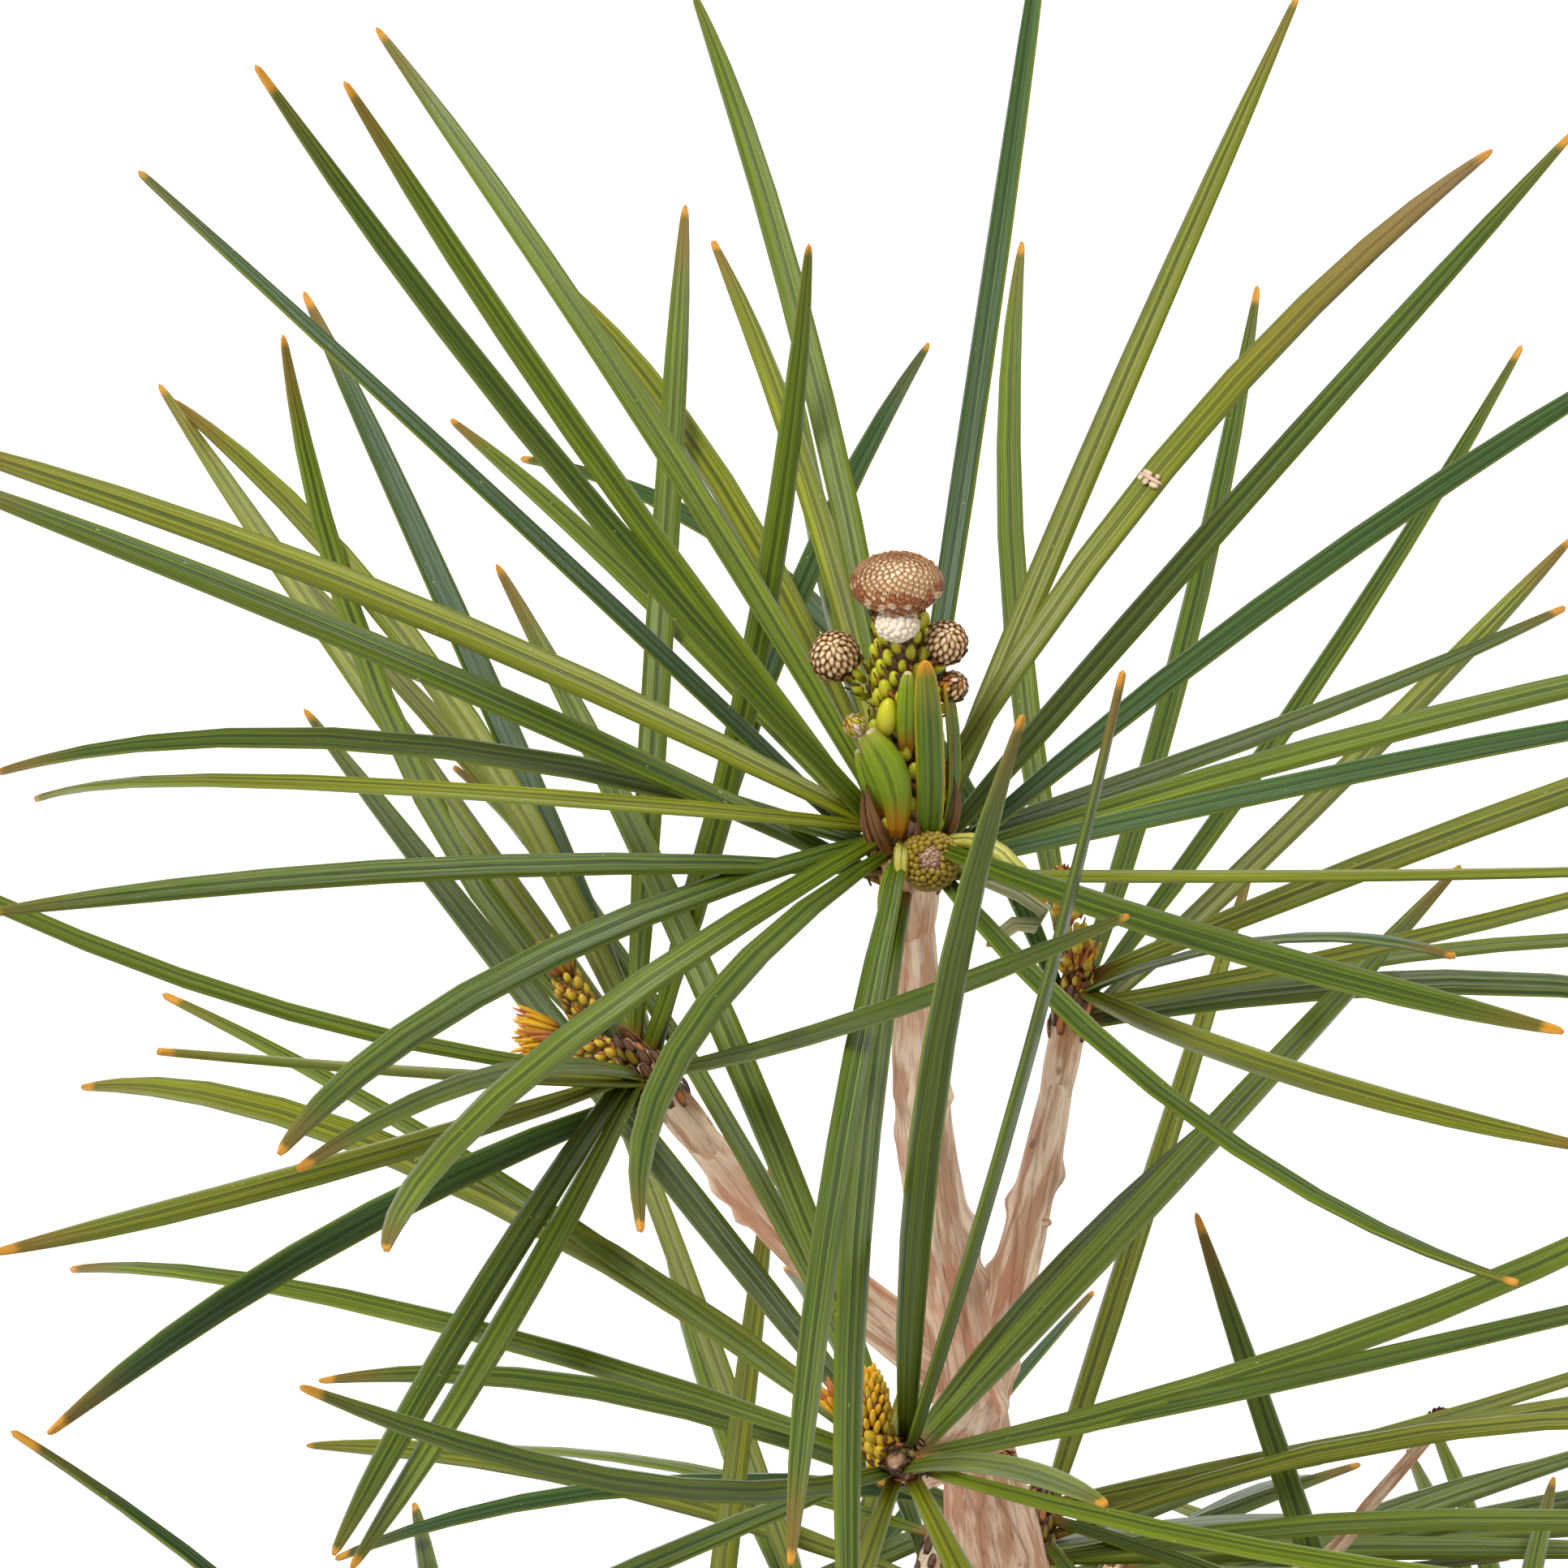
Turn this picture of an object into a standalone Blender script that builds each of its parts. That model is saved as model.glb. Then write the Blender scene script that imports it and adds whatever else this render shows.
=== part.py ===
"""Potted Japanese umbrella pine: a young conifer with long flat needles in whorls, in a plain clay pot.

The origin is the middle of the pot's flat underside and +Z is up. The picture that it follows looks along +Y,
down at 30 degrees, so -Y is the front and +X the right. Lengths are in metres and angles in degrees.
"""

import math
import random

import bmesh
import bpy
from mathutils import Matrix, Vector
from mathutils.bvhtree import BVHTree

# Gap between pieces that touch on the real plant
GAP = 0.0003

# Pot, turned about its middle
POT_HEIGHT = 0.150
POT_FOOT_RADIUS = 0.060
POT_NECK_RADIUS = 0.079
POT_RIM_RADIUS = 0.087
POT_WALL = 0.006
POT_FLOOR = 0.009
RIM_HEIGHT = 0.026
RIM_LEAN = 0.002
POT_EDGE = 0.0015
POT_SEGMENTS = 36
HOLE_RADIUS = 0.005
HOLE_RING = 0.028
HOLE_COUNT = 3
HOLE_SIDES = 12

# Soil
SOIL_TOP = 0.138
SOIL_SEGMENTS = 24

# Trunk: its middle and radius at heights from the cut at the soil to the tip
TRUNK_FOOT_RADIUS = 0.0105
TRUNK_COURSE = (
    (SOIL_TOP + GAP, 0.0060, 0.0000, TRUNK_FOOT_RADIUS),
    (0.1440, 0.0058, 0.0002, 0.0085),
    (0.1560, 0.0050, 0.0008, 0.0074),
    (0.1750, 0.0035, 0.0015, 0.0071),
    (0.1900, 0.0019, 0.0018, 0.0067),
    (0.2130, -0.0012, 0.0016, 0.0063),
    (0.2360, -0.0045, 0.0010, 0.0060),
    (0.2550, -0.0078, 0.0004, 0.0052),
    (0.2690, -0.0104, 0.0000, 0.0050),
    (0.2800, -0.0122, 0.0000, 0.0040),
    (0.2900, -0.0138, 0.0000, 0.0038),
    (0.3020, -0.0158, 0.0000, 0.0033),
    (0.3180, -0.0180, 0.0000, 0.0030),
    (0.3430, -0.0198, 0.0000, 0.0027),
)
TRUNK_SIDES = 12

# Boughs and twigs
BOUGH_SIDES = 8
BOUGH_STATIONS = 6
BOUGH_LIFT = 0.12
BOUGH_FOOT_SCALE = 1.12
BOUGH_TIP_SCALE = 0.70
TWIG_SIDES = 5
STEM_LENGTH = 0.008
WHORL_HEIGHT = 0.007
WHORL_SWELL = 1.35
WHORL_BAND = 0.6
BUD_SCALE = 0.6

# Needles
NEEDLE_LENGTH = 0.095
NEEDLE_HALF_WIDTH = 0.0016
NEEDLE_HALF_THICKNESS = 0.0007
NEEDLE_ROOT_HALF_WIDTH = 0.0007
NEEDLE_BLUNT = 0.95
NEEDLE_STEPS = 24
NEEDLE_CLEARANCE = 0.0004
NEEDLE_ROLL_LEAN = 24
NEEDLE_ROLL_SPREAD = 22
NEEDLE_SINK = 0.6
STEEPEST = 0.2
BEND_PER_STATION = 32
NUDGE_SIZES = (1.5, 3.0, 4.5, 6.5, 9.0)
NUDGE_WAYS = 8

# The top whorl
TOP_HUB = Vector((-0.0200, 0.0000, 0.3500))
TOP_HUB_RADIUS = 0.0040
TOP_HUB_HALF = 0.0065
TOP_HUB_SIDES = 9


def needle(bearing, rise, droop=0, sweep=0, length=NEEDLE_LENGTH):
    """A needle's attitude: it leaves at bearing and rise, then turns down by droop and round by sweep."""
    return {"bearing": bearing, "rise": rise, "droop": droop, "sweep": sweep, "length": length}


# Needles that show in the picture, whorl by whorl, read by eye
TOP_NEEDLES = (
    needle(150, 32, -1, 3, 0.099), needle(173, 48, -10, -4), needle(168, 52, -6, -4, 0.090),
    needle(135, 48, 16, -2), needle(107, 21, 19, 11, 0.094), needle(106, 56, 46, -2, 0.098),
    needle(100, 4, 5, -8), needle(101, 24, 23, 2), needle(120, 9, 15, -2, 0.096),
    needle(78, 46, 14, 3, 0.105), needle(61, 39, 5, -1, 0.100), needle(43, 48, 39, 4, 0.094),
    needle(42, 30, 1, -2, 0.100), needle(32, 25, 9, -3), needle(39, -6, -1, 9), needle(24, 4, 5, -2),
    needle(5, 13, 8, -1), needle(-45, 21, -2, 3), needle(-60, 17, -2, 7), needle(-57, -15, -34, 2, 0.088),
    needle(-100, -11, -10, 7, 0.096), needle(-100, -16, 17, 14, 0.096), needle(235, 7, -3, 41, 0.086),
    needle(217, -8, -34, 57, 0.102), needle(206, 1, -12, 54, 0.088), needle(205, 16, 5, 12),
    needle(187, 14, 48, -64, 0.102), needle(170, 15, 45, -23, 0.099), needle(174.6, 25, 6, 1, 0.101),
    needle(171, 28, 13, 1, 0.100),
)
FRONT_NEEDLES = (
    needle(147, 23, 19, -1, 0.090), needle(156, 32, 64, -26, 0.108), needle(172, 19, 51, -43, 0.100),
    needle(245, 28, -11, -35, 0.092), needle(220, 8, 15), needle(256, -1, 22, 3), needle(286, 1, 19, 2),
    needle(285, 39, 12, -1, 0.070), needle(18, -1, -20, 7), needle(13, 6, -1, -1), needle(-42, 13, -9, 6),
    needle(67, -4, 4, -9), needle(54, 9, -2, -1, 0.100), needle(-56, 72, -7, 19, 0.099),
    needle(-91, 76, 11, 27, 0.108), needle(128, 25, 0, -1, 0.100), needle(120, 38, 48, -4, 0.103),
    needle(120, 47, 25, -2, 0.101),
)
LEFT_NEEDLES = (
    needle(115, 35, 13, -2, 0.100), needle(133, 12, -55, -22, 0.090), needle(94, -9, -49, 60),
    needle(127, 24, -3, length=0.098), needle(121, 42, 35, 11, 0.097), needle(87, 52, 28, 3, 0.094),
    needle(48, 60, -18, 24, 0.082), needle(70, 53, 38, -6, 0.086), needle(212, 25, -17, -11, 0.094),
    needle(239, 31, 0, 1, 0.090), needle(248, 37, 24, -2, 0.080), needle(239, 18, -2, -10),
    needle(225, 7, 5, 17, 0.094), needle(247, -2, -9, 11, 0.083), needle(254, -2, -3, -4, 0.079),
    needle(-67, 35, -5, 22, 0.094),
)
RIGHT_NEEDLES = (
    needle(71, 23, -5, 8, 0.098), needle(55, 16, -10, 4, 0.102), needle(51, 8, -4), needle(10, 22, 5, -1),
    needle(-57, 42, 19, -15, 0.083), needle(1, 10, -12, 3), needle(33, -5, 14, -11),
    needle(19, 0, 27, -6, 0.094), needle(-70, 21, -1, 17), needle(103, 39, 14, -22, 0.091),
    needle(134, 62, 76, 8, 0.093),
)
LOW_RIGHT_NEEDLES = (
    needle(72, 20), needle(8, 20, 40), needle(-3, 12, 25), needle(15, 5, 5), needle(27, -6, -12),
    needle(-65, 0, 10), needle(60, -30, 6), needle(105, -30, 8), needle(152, -8, 30), needle(-30, 5, 25),
    needle(149, 9, 38),
)
MIDDLE_LEFT_NEEDLES = (needle(81, 35, length=0.100), needle(180, 68, 28, 0, 0.103))
MIDDLE_RIGHT_NEEDLES = (needle(117, 42, length=0.080),)
MIDDLE_BACK_NEEDLES = (needle(113, 33, 4),)


def bough(name, foot_height, foot_radius, hub, rows=(), count=0, twigs=0, seed=0):
    """A bough from the trunk at foot_height to the whorl whose middle is hub."""
    return {
        "name": name, "foot_height": foot_height, "foot_radius": foot_radius, "hub": Vector(hub),
        "rows": rows, "count": count, "twigs": twigs, "seed": seed,
    }


# The boughs that show, then those below the picture, set round two lower joints of the trunk
BOUGHS = [
    bough("front", 0.2860, 0.0030, (-0.0206, -0.0300, 0.3009), FRONT_NEEDLES, seed=2),
    bough("left", 0.2885, 0.0027, (-0.0446, 0.0040, 0.3218), LEFT_NEEDLES, seed=3),
    bough("right", 0.2830, 0.0025, (-0.0023, 0.0300, 0.3139), RIGHT_NEEDLES, seed=4),
    bough("low_right", 0.2510, 0.0024, (-0.0052, 0.0190, 0.2552), LOW_RIGHT_NEEDLES, seed=4),
    bough("middle_left", 0.2080, 0.0031, (-0.0460, -0.0290, 0.2230), MIDDLE_LEFT_NEEDLES, 12, 1, seed=11),
    bough("middle_right", 0.2130, 0.0030, (0.0400, -0.0100, 0.2250), MIDDLE_RIGHT_NEEDLES, 12, 1, seed=12),
    bough("middle_back", 0.2020, 0.0029, (-0.0250, 0.0460, 0.2110), MIDDLE_BACK_NEEDLES, 12, 1, seed=18),
]
LOWEST_JOINT = 0.1680
LOWEST_BEARINGS = (28, 102, 168, 243, 312)
LOWEST_REACH = 0.062
LOWEST_CLIMB = 0.019
LOWEST_STAGGER = 0.0045
LOWEST_COUNT = 9
LOWEST_SEEDS = (21, 22, 23, 24, 25)

# A whorl that follows the rule: how its needles lean from the shoot, rise, droop and vary
RING_LEAN = 66
RING_LEAN_SPREAD = 14
RING_TURN_SPREAD = 0.3
RING_RISE_MOST = -2
RING_RISE_SPREAD = 9
RING_DROOP = 18
RING_DROOP_SPREAD = 12
RING_SWEEP_SPREAD = 8
RING_LIFT = 0.16
RING_LENGTH_SPREAD = 0.008
SIDE_TWIG_LENGTH = 0.026
SIDE_TWIG_TURN = 48
SIDE_TWIG_TURN_SPREAD = 6
SIDE_TWIG_COUNT = 6
SIDE_TWIG_RADIUS = 0.0015

# Cone clusters: middle of each round head from its whorl's middle, then its radius and how flat it is
TOP_HEADS = (
    ((-0.0014, 0.0000, 0.0292), 0.0043, 0.68),
    ((-0.0014, -0.0012, 0.0254), 0.0022, 0.85),
    ((-0.0071, -0.0005, 0.0216), 0.0026, 0.90),
    ((0.0031, -0.0005, 0.0232), 0.0023, 0.90),
    ((0.0040, -0.0010, 0.0187), 0.0018, 0.90),
    ((0.0022, -0.0050, 0.0020), 0.0028, 0.95),
)
TOP_AXIS = ((0.0045, 0.0036), (0.0120, 0.0033), (0.0200, 0.0028), (0.0262, 0.0017))
TOP_AXIS_LEAN = -0.0012
TOP_SHORT_LEAVES = (
    ((0.0014, -0.0032, 0.0010), needle(-80, 84, length=0.0175)),
    ((0.0030, -0.0010, 0.0030), needle(-20, 82, length=0.0150)),
    ((0.0040, -0.0020, 0.0000), needle(-45, 5, 20, length=0.0110)),
    ((-0.0010, -0.0030, -0.0010), needle(-105, -25, length=0.0080)),
    ((-0.0030, -0.0010, 0.0030), needle(200, 74, length=0.0140)),
)
LEFT_HEADS = (((-0.0113, 0.0020, 0.0042), 0.0021, 1.0), ((-0.0105, 0.0055, 0.0105), 0.0019, 1.0))
FRONT_HEADS = (((-0.0030, -0.0010, 0.0075), 0.0017, 1.4),)
RIGHT_HEADS = (((0.0006, 0.0010, 0.0066), 0.0016, 1.2),)
HEADS = {"left": LEFT_HEADS, "front": FRONT_HEADS, "right": RIGHT_HEADS}
HEAD_SIDES = 8
HEAD_RINGS = 5
STALK_RADIUS = 0.0011
STALK_DROP = 0.006
DRY_STALK = (
    (0.0260, 0.0020, 0.0030), (0.0518, 0.0039, 0.0155), (0.0590, 0.0040, 0.0250), (0.0660, 0.0041, 0.0358),
)
DRY_STALK_RADIUS = 0.0008
DRY_HEAD_RADIUS = 0.0017

SHARP_ANGLE = 40

# Colours read from the picture as (red, green, blue), each with its roughness
GREEN = ((0.115, 0.165, 0.050), 0.42)
BARK = ((0.540, 0.380, 0.280), 0.80)
CLAY = ((0.520, 0.215, 0.110), 0.85)
EARTH = ((0.060, 0.042, 0.030), 0.95)


def clear_scene():
    for item in list(bpy.data.objects):
        bpy.data.objects.remove(item)


def material(name, look):
    colour, roughness = look
    made = bpy.data.materials.new(name)
    made.use_nodes = True
    shader = made.node_tree.nodes["Principled BSDF"]
    shader.inputs["Base Color"].default_value = (*colour, 1.0)
    shader.inputs["Roughness"].default_value = roughness
    shader.inputs["Metallic"].default_value = 0.0
    return made


def place(name, bm, look=None, smooth=True):
    """Makes the finished mesh an object of the scene."""
    bmesh.ops.recalc_face_normals(bm, faces=bm.faces)
    mesh = bpy.data.meshes.new(name)
    bm.to_mesh(mesh)
    bm.free()
    if smooth:
        mesh.shade_smooth()
        mesh.set_sharp_from_angle(angle=math.radians(SHARP_ANGLE))
    if look:
        mesh.materials.append(look)
    item = bpy.data.objects.new(name, mesh)
    bpy.context.scene.collection.objects.link(item)
    return item


def lofted(frames, sides, tip=None):
    """A closed body whose sections are the unit circle seen through each frame, ending flat or in a point."""
    bm = bmesh.new()
    bmesh.ops.create_circle(bm, cap_ends=True, segments=sides, radius=1.0, matrix=frames[0])
    rim = bm.edges[:]
    for before, after in zip(frames, frames[1:]):
        grown = bmesh.ops.extrude_edge_only(bm, edges=rim)["geom"]
        rim = [part for part in grown if isinstance(part, bmesh.types.BMEdge)]
        points = [part for part in grown if isinstance(part, bmesh.types.BMVert)]
        bmesh.ops.transform(bm, matrix=after @ before.inverted(), verts=points)
    if tip:
        grown = bmesh.ops.extrude_edge_only(bm, edges=rim)["geom"]
        points = [part for part in grown if isinstance(part, bmesh.types.BMVert)]
        bmesh.ops.pointmerge(bm, verts=points, merge_co=tip)
    else:
        bmesh.ops.contextual_create(bm, geom=rim)
    bmesh.ops.recalc_face_normals(bm, faces=bm.faces)
    return bm


def frame_of(side, normal, along, middle):
    return Matrix.Translation(middle) @ Matrix((side, normal, along)).transposed().to_4x4()


def round_frames(points, radii):
    """Frames square to a limb's course, turned as little as possible from one to the next."""
    frames = []
    side = Vector((0.0, 0.0, 1.0))
    for i, (point, radius) in enumerate(zip(points, radii)):
        along = (points[min(i + 1, len(points) - 1)] - points[max(i - 1, 0)]).normalized()
        if abs(along.dot(side)) > 0.99:
            side = Vector((1.0, 0.0, 0.0))
        side = (side - along * along.dot(side)).normalized()
        frames.append(frame_of(side * radius, along.cross(side) * radius, along, point))
    return frames


def trunk_frames(grow=0.0):
    """The trunk's sections, all level, so that its foot is a flat cut."""
    frames = []
    for height, x, y, radius in TRUNK_COURSE:
        size = radius + grow
        side, normal, along = Vector((size, 0, 0)), Vector((0, size, 0)), Vector((0, 0, 1))
        frames.append(frame_of(side, normal, along, Vector((x, y, height))))
    return frames


def trunk_middle(height):
    for low, high in zip(TRUNK_COURSE, TRUNK_COURSE[1:]):
        if height <= high[0]:
            part = (height - low[0]) / (high[0] - low[0])
            return Vector((low[1], low[2], low[0])).lerp(Vector((high[1], high[2], high[0])), part)
    return Vector((TRUNK_COURSE[-1][1], TRUNK_COURSE[-1][2], TRUNK_COURSE[-1][0]))


def bough_course(spec):
    """Points and radii from the trunk's middle to the bough's tip, and the way its shoot points there."""
    foot, hub = trunk_middle(spec["foot_height"]), spec["hub"]
    bend = foot.lerp(hub, 0.5) - Vector((0, 0, BOUGH_LIFT * (hub - foot).length))
    shoot = (hub - bend).normalized()
    tip = hub - shoot * (STEM_LENGTH + GAP)
    points, radii = [], []
    for i in range(BOUGH_STATIONS):
        t = i / (BOUGH_STATIONS - 1)
        points.append(foot.lerp(bend, t).lerp(bend.lerp(tip, t), t))
        radii.append(spec["foot_radius"] * (BOUGH_FOOT_SCALE + (BOUGH_TIP_SCALE - BOUGH_FOOT_SCALE) * t))
    return points, radii, shoot


def needle_course(start, row):
    """Points along a needle with its side and normal at each, by even steps from its root to its tip."""
    point, out = start.copy(), []
    for i in range(NEEDLE_STEPS + 1):
        part = i / NEEDLE_STEPS
        rise = math.radians(row["rise"] - row["droop"] * part)
        bearing = math.radians(row["bearing"] + row["sweep"] * part)
        out_way = Vector((math.cos(bearing), math.sin(bearing), 0.0))
        level = Vector((-math.sin(bearing), math.cos(bearing), 0.0))
        along = out_way * math.cos(rise) + Vector((0.0, 0.0, math.sin(rise)))
        roll = math.radians(row["roll"])
        side = level * math.cos(roll) + along.cross(level) * math.sin(roll)
        out.append((point.copy(), side, along.cross(side), along))
        point += along * row["length"] / NEEDLE_STEPS
    return out


def needle_body(start, row, grow=0.0):
    """A needle as a flat four-sided blade with a narrow root and a blunt tip."""
    course = needle_course(start, row)
    bend = abs(row["droop"]) + abs(row["sweep"])
    stations = 2 + math.ceil(bend / BEND_PER_STATION)
    frames = []
    for i in range(stations + 1):
        part = NEEDLE_BLUNT * i / stations
        middle, side, normal, along = course[round(part * NEEDLE_STEPS)]
        half = NEEDLE_ROOT_HALF_WIDTH if i == 0 else NEEDLE_HALF_WIDTH
        thick = NEEDLE_HALF_THICKNESS + grow
        frames.append(frame_of(side * (half + grow), normal * thick, along, middle))
    return lofted(frames, 4, tip=course[-1][0])


def tree_of(bm):
    found = BVHTree.FromBMesh(bm)
    bm.free()
    return found


def ring_rows(rng, shoot, count):
    """Attitudes of a whorl's needles, spread round its shoot by the rule."""
    across = shoot.orthogonal().normalized()
    rows = []
    for i in range(count):
        turn = 2 * math.pi * (i + rng.uniform(-RING_TURN_SPREAD, RING_TURN_SPREAD)) / count
        lean = math.radians(RING_LEAN + rng.uniform(-RING_LEAN_SPREAD, RING_LEAN_SPREAD))
        out = Matrix.Rotation(turn, 3, shoot) @ across
        way = (shoot * math.cos(lean) + out * math.sin(lean) + Vector((0, 0, RING_LIFT))).normalized()
        bearing = math.degrees(math.atan2(way.y, way.x))
        most = RING_RISE_MOST + rng.uniform(-RING_RISE_SPREAD, RING_RISE_SPREAD)
        rise = min(most, math.degrees(math.asin(max(-1.0, min(1.0, way.z)))))
        droop = RING_DROOP + rng.uniform(-RING_DROOP_SPREAD, RING_DROOP_SPREAD)
        length = NEEDLE_LENGTH + rng.uniform(-RING_LENGTH_SPREAD, RING_LENGTH_SPREAD)
        rows.append(needle(bearing, rise, droop, rng.uniform(-RING_SWEEP_SPREAD, RING_SWEEP_SPREAD), length))
    return rows


def nudges():
    """Turns and lifts, small ones first, that may bring a needle clear of what it touches."""
    yield 0.0, 0.0
    for size in NUDGE_SIZES:
        for i in range(NUDGE_WAYS):
            way = 2 * math.pi * i / NUDGE_WAYS
            yield size * math.cos(way), size * math.sin(way)


def aimed(row, shift):
    """The row turned so that a needle that starts off the whorl's middle still ends where it was read."""
    rise, bearing = math.radians(row["rise"]), math.radians(row["bearing"])
    level = Vector((-math.sin(bearing), math.cos(bearing), 0.0))
    out = Vector((math.cos(bearing), math.sin(bearing), 0.0))
    over = Vector((0.0, 0.0, math.cos(rise))) - out * math.sin(rise)
    turn = -shift.dot(level) / (row["length"] * max(math.cos(rise), STEEPEST))
    lift = -shift.dot(over) / row["length"]
    return dict(row, bearing=row["bearing"] + math.degrees(turn), rise=row["rise"] + math.degrees(lift))


def whorl_needles(rng, hub, shoot, radius, rows, others):
    """The whorl's needles that come clear of limbs and other masses, each turned a little if need be."""
    kept = []
    for row in rows:
        shift = shoot * rng.uniform(-WHORL_HEIGHT, WHORL_HEIGHT) / 2
        row = aimed(row, shift)
        row["roll"] = NEEDLE_ROLL_LEAN * math.cos(math.radians(row["bearing"]))
        row["roll"] += rng.uniform(-NEEDLE_ROLL_SPREAD, NEEDLE_ROLL_SPREAD)
        for turn, lift in nudges():
            tried = dict(row, bearing=row["bearing"] + turn, rise=row["rise"] + lift)
            bearing = math.radians(tried["bearing"])
            out = Vector((math.cos(bearing), math.sin(bearing), 0.0)) * math.cos(math.radians(tried["rise"]))
            start = hub + shift + out * radius * NEEDLE_SINK
            tree = tree_of(needle_body(start, tried, grow=NEEDLE_CLEARANCE))
            if not any(tree.overlap(other) for other in others):
                kept.append((start, tried, tree))
                break
    return kept


def stem_frames(foot, shoot, hub, radius):
    """A whorl's stem: it starts clear of the bough's tip, swells where the needles sit and ends in a bud."""
    band = shoot * WHORL_HEIGHT * WHORL_BAND
    points = [foot, hub - band, hub + band, hub + shoot * WHORL_HEIGHT]
    radii = [radius, radius * WHORL_SWELL, radius * WHORL_SWELL, radius * BUD_SCALE]
    return round_frames(points, radii)


def head_body(middle, radius, flat):
    bm = bmesh.new()
    shape = Matrix.Translation(middle) @ Matrix.Diagonal((radius, radius, radius * flat, 1.0))
    bmesh.ops.create_uvsphere(bm, u_segments=HEAD_SIDES, v_segments=HEAD_RINGS, radius=1.0, matrix=shape)
    return bm


def stalk_body(points, radius):
    return lofted(round_frames(points, [radius] * len(points)), TWIG_SIDES)


def heads_on(hub, heads):
    """Round cone heads, each on a stalk from inside the whorl."""
    bodies = []
    for offset, radius, flat in heads:
        middle = hub + Vector(offset)
        bodies.append(stalk_body([hub, middle], STALK_RADIUS))
        bodies.append(head_body(middle, radius, flat))
    return bodies


def top_cluster():
    """The cluster of young cones on the leader, with its axis and short leaves."""
    last = len(TOP_AXIS) - 1
    axis = [TOP_HUB + Vector((TOP_AXIS_LEAN * i / last, 0, rise)) for i, (rise, _) in enumerate(TOP_AXIS)]
    bodies = [lofted(round_frames(axis, [radius for _, radius in TOP_AXIS]), BOUGH_SIDES)]
    for offset, radius, flat in TOP_HEADS:
        middle = TOP_HUB + Vector(offset)
        inner = TOP_HUB + Vector((TOP_AXIS_LEAN, 0, max(0.0, offset[2] - STALK_DROP)))
        bodies.append(stalk_body([inner, middle], STALK_RADIUS))
        bodies.append(head_body(middle, radius, flat))
    for offset, row in TOP_SHORT_LEAVES:
        bodies.append(needle_body(TOP_HUB + Vector(offset), dict(row, roll=0)))
    return bodies


def outer_shell(mesh):
    """Keeps the largest closed body of a joined mesh, so that sealed hollows and loose scraps go."""
    bm = bmesh.new()
    bm.from_mesh(mesh)
    unseen, bodies = set(bm.faces), []
    while unseen:
        edge, body = [unseen.pop()], []
        while edge:
            face = edge.pop()
            body.append(face)
            for side in face.edges:
                if len(side.link_faces) > 2:
                    continue
                for near in side.link_faces:
                    if near in unseen:
                        unseen.remove(near)
                        edge.append(near)
        bodies.append(body)
    bodies.sort(key=lambda body: sum(face.calc_area() for face in body))
    bmesh.ops.delete(bm, geom=[face for body in bodies[:-1] for face in body], context="FACES")
    return bm


def fuse(name, bodies, look):
    """Joins the bodies of a mass into one closed solid."""
    first, *rest = [place(f"{name}_{i}", body) for i, body in enumerate(bodies)]
    group = bpy.data.collections.new(f"{name}_pieces")
    for item in rest:
        group.objects.link(item)
    join = first.modifiers.new("join", "BOOLEAN")
    join.operation = "UNION"
    join.operand_type = "COLLECTION"
    join.collection = group
    join.solver = "EXACT"
    graph = bpy.context.evaluated_depsgraph_get()
    joined = bpy.data.meshes.new_from_object(first.evaluated_get(graph))
    for item in [first, *rest]:
        bpy.data.objects.remove(item)
    bpy.data.collections.remove(group)
    return place(name, outer_shell(joined), look)


def turned(profile, segments):
    """A closed body spun about Z from a profile that starts and ends on the axis."""
    bm = bmesh.new()
    points = [bm.verts.new((radius, 0.0, height)) for radius, height in profile]
    edges = [bm.edges.new(pair) for pair in zip(points, points[1:])]
    bmesh.ops.spin(
        bm, geom=points + edges, cent=(0, 0, 0), axis=(0, 0, 1),
        angle=2 * math.pi, steps=segments, use_merge=True,
    )
    bmesh.ops.remove_doubles(bm, verts=bm.verts, dist=0.00001)
    return bm


def inner_radius(height):
    """The pot's inner wall, which leans out from its floor to its mouth."""
    part = (height - POT_FLOOR) / (POT_HEIGHT - POT_FLOOR)
    low, high = POT_FOOT_RADIUS - POT_WALL, POT_NECK_RADIUS - POT_WALL + RIM_LEAN
    return low + (high - low) * part


def pot_profile():
    rim_foot = POT_HEIGHT - RIM_HEIGHT
    return [
        (0.0, 0.0), (POT_FOOT_RADIUS - POT_EDGE, 0.0), (POT_FOOT_RADIUS, POT_EDGE),
        (POT_NECK_RADIUS, rim_foot - POT_EDGE), (POT_RIM_RADIUS - RIM_LEAN - POT_EDGE, rim_foot),
        (POT_RIM_RADIUS - RIM_LEAN, rim_foot + POT_EDGE), (POT_RIM_RADIUS, POT_HEIGHT - POT_EDGE),
        (POT_RIM_RADIUS - POT_EDGE, POT_HEIGHT), (inner_radius(POT_HEIGHT) + POT_EDGE, POT_HEIGHT),
        (inner_radius(POT_HEIGHT), POT_HEIGHT - POT_EDGE), (inner_radius(POT_FLOOR), POT_FLOOR),
        (0.0, POT_FLOOR),
    ]


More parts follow.
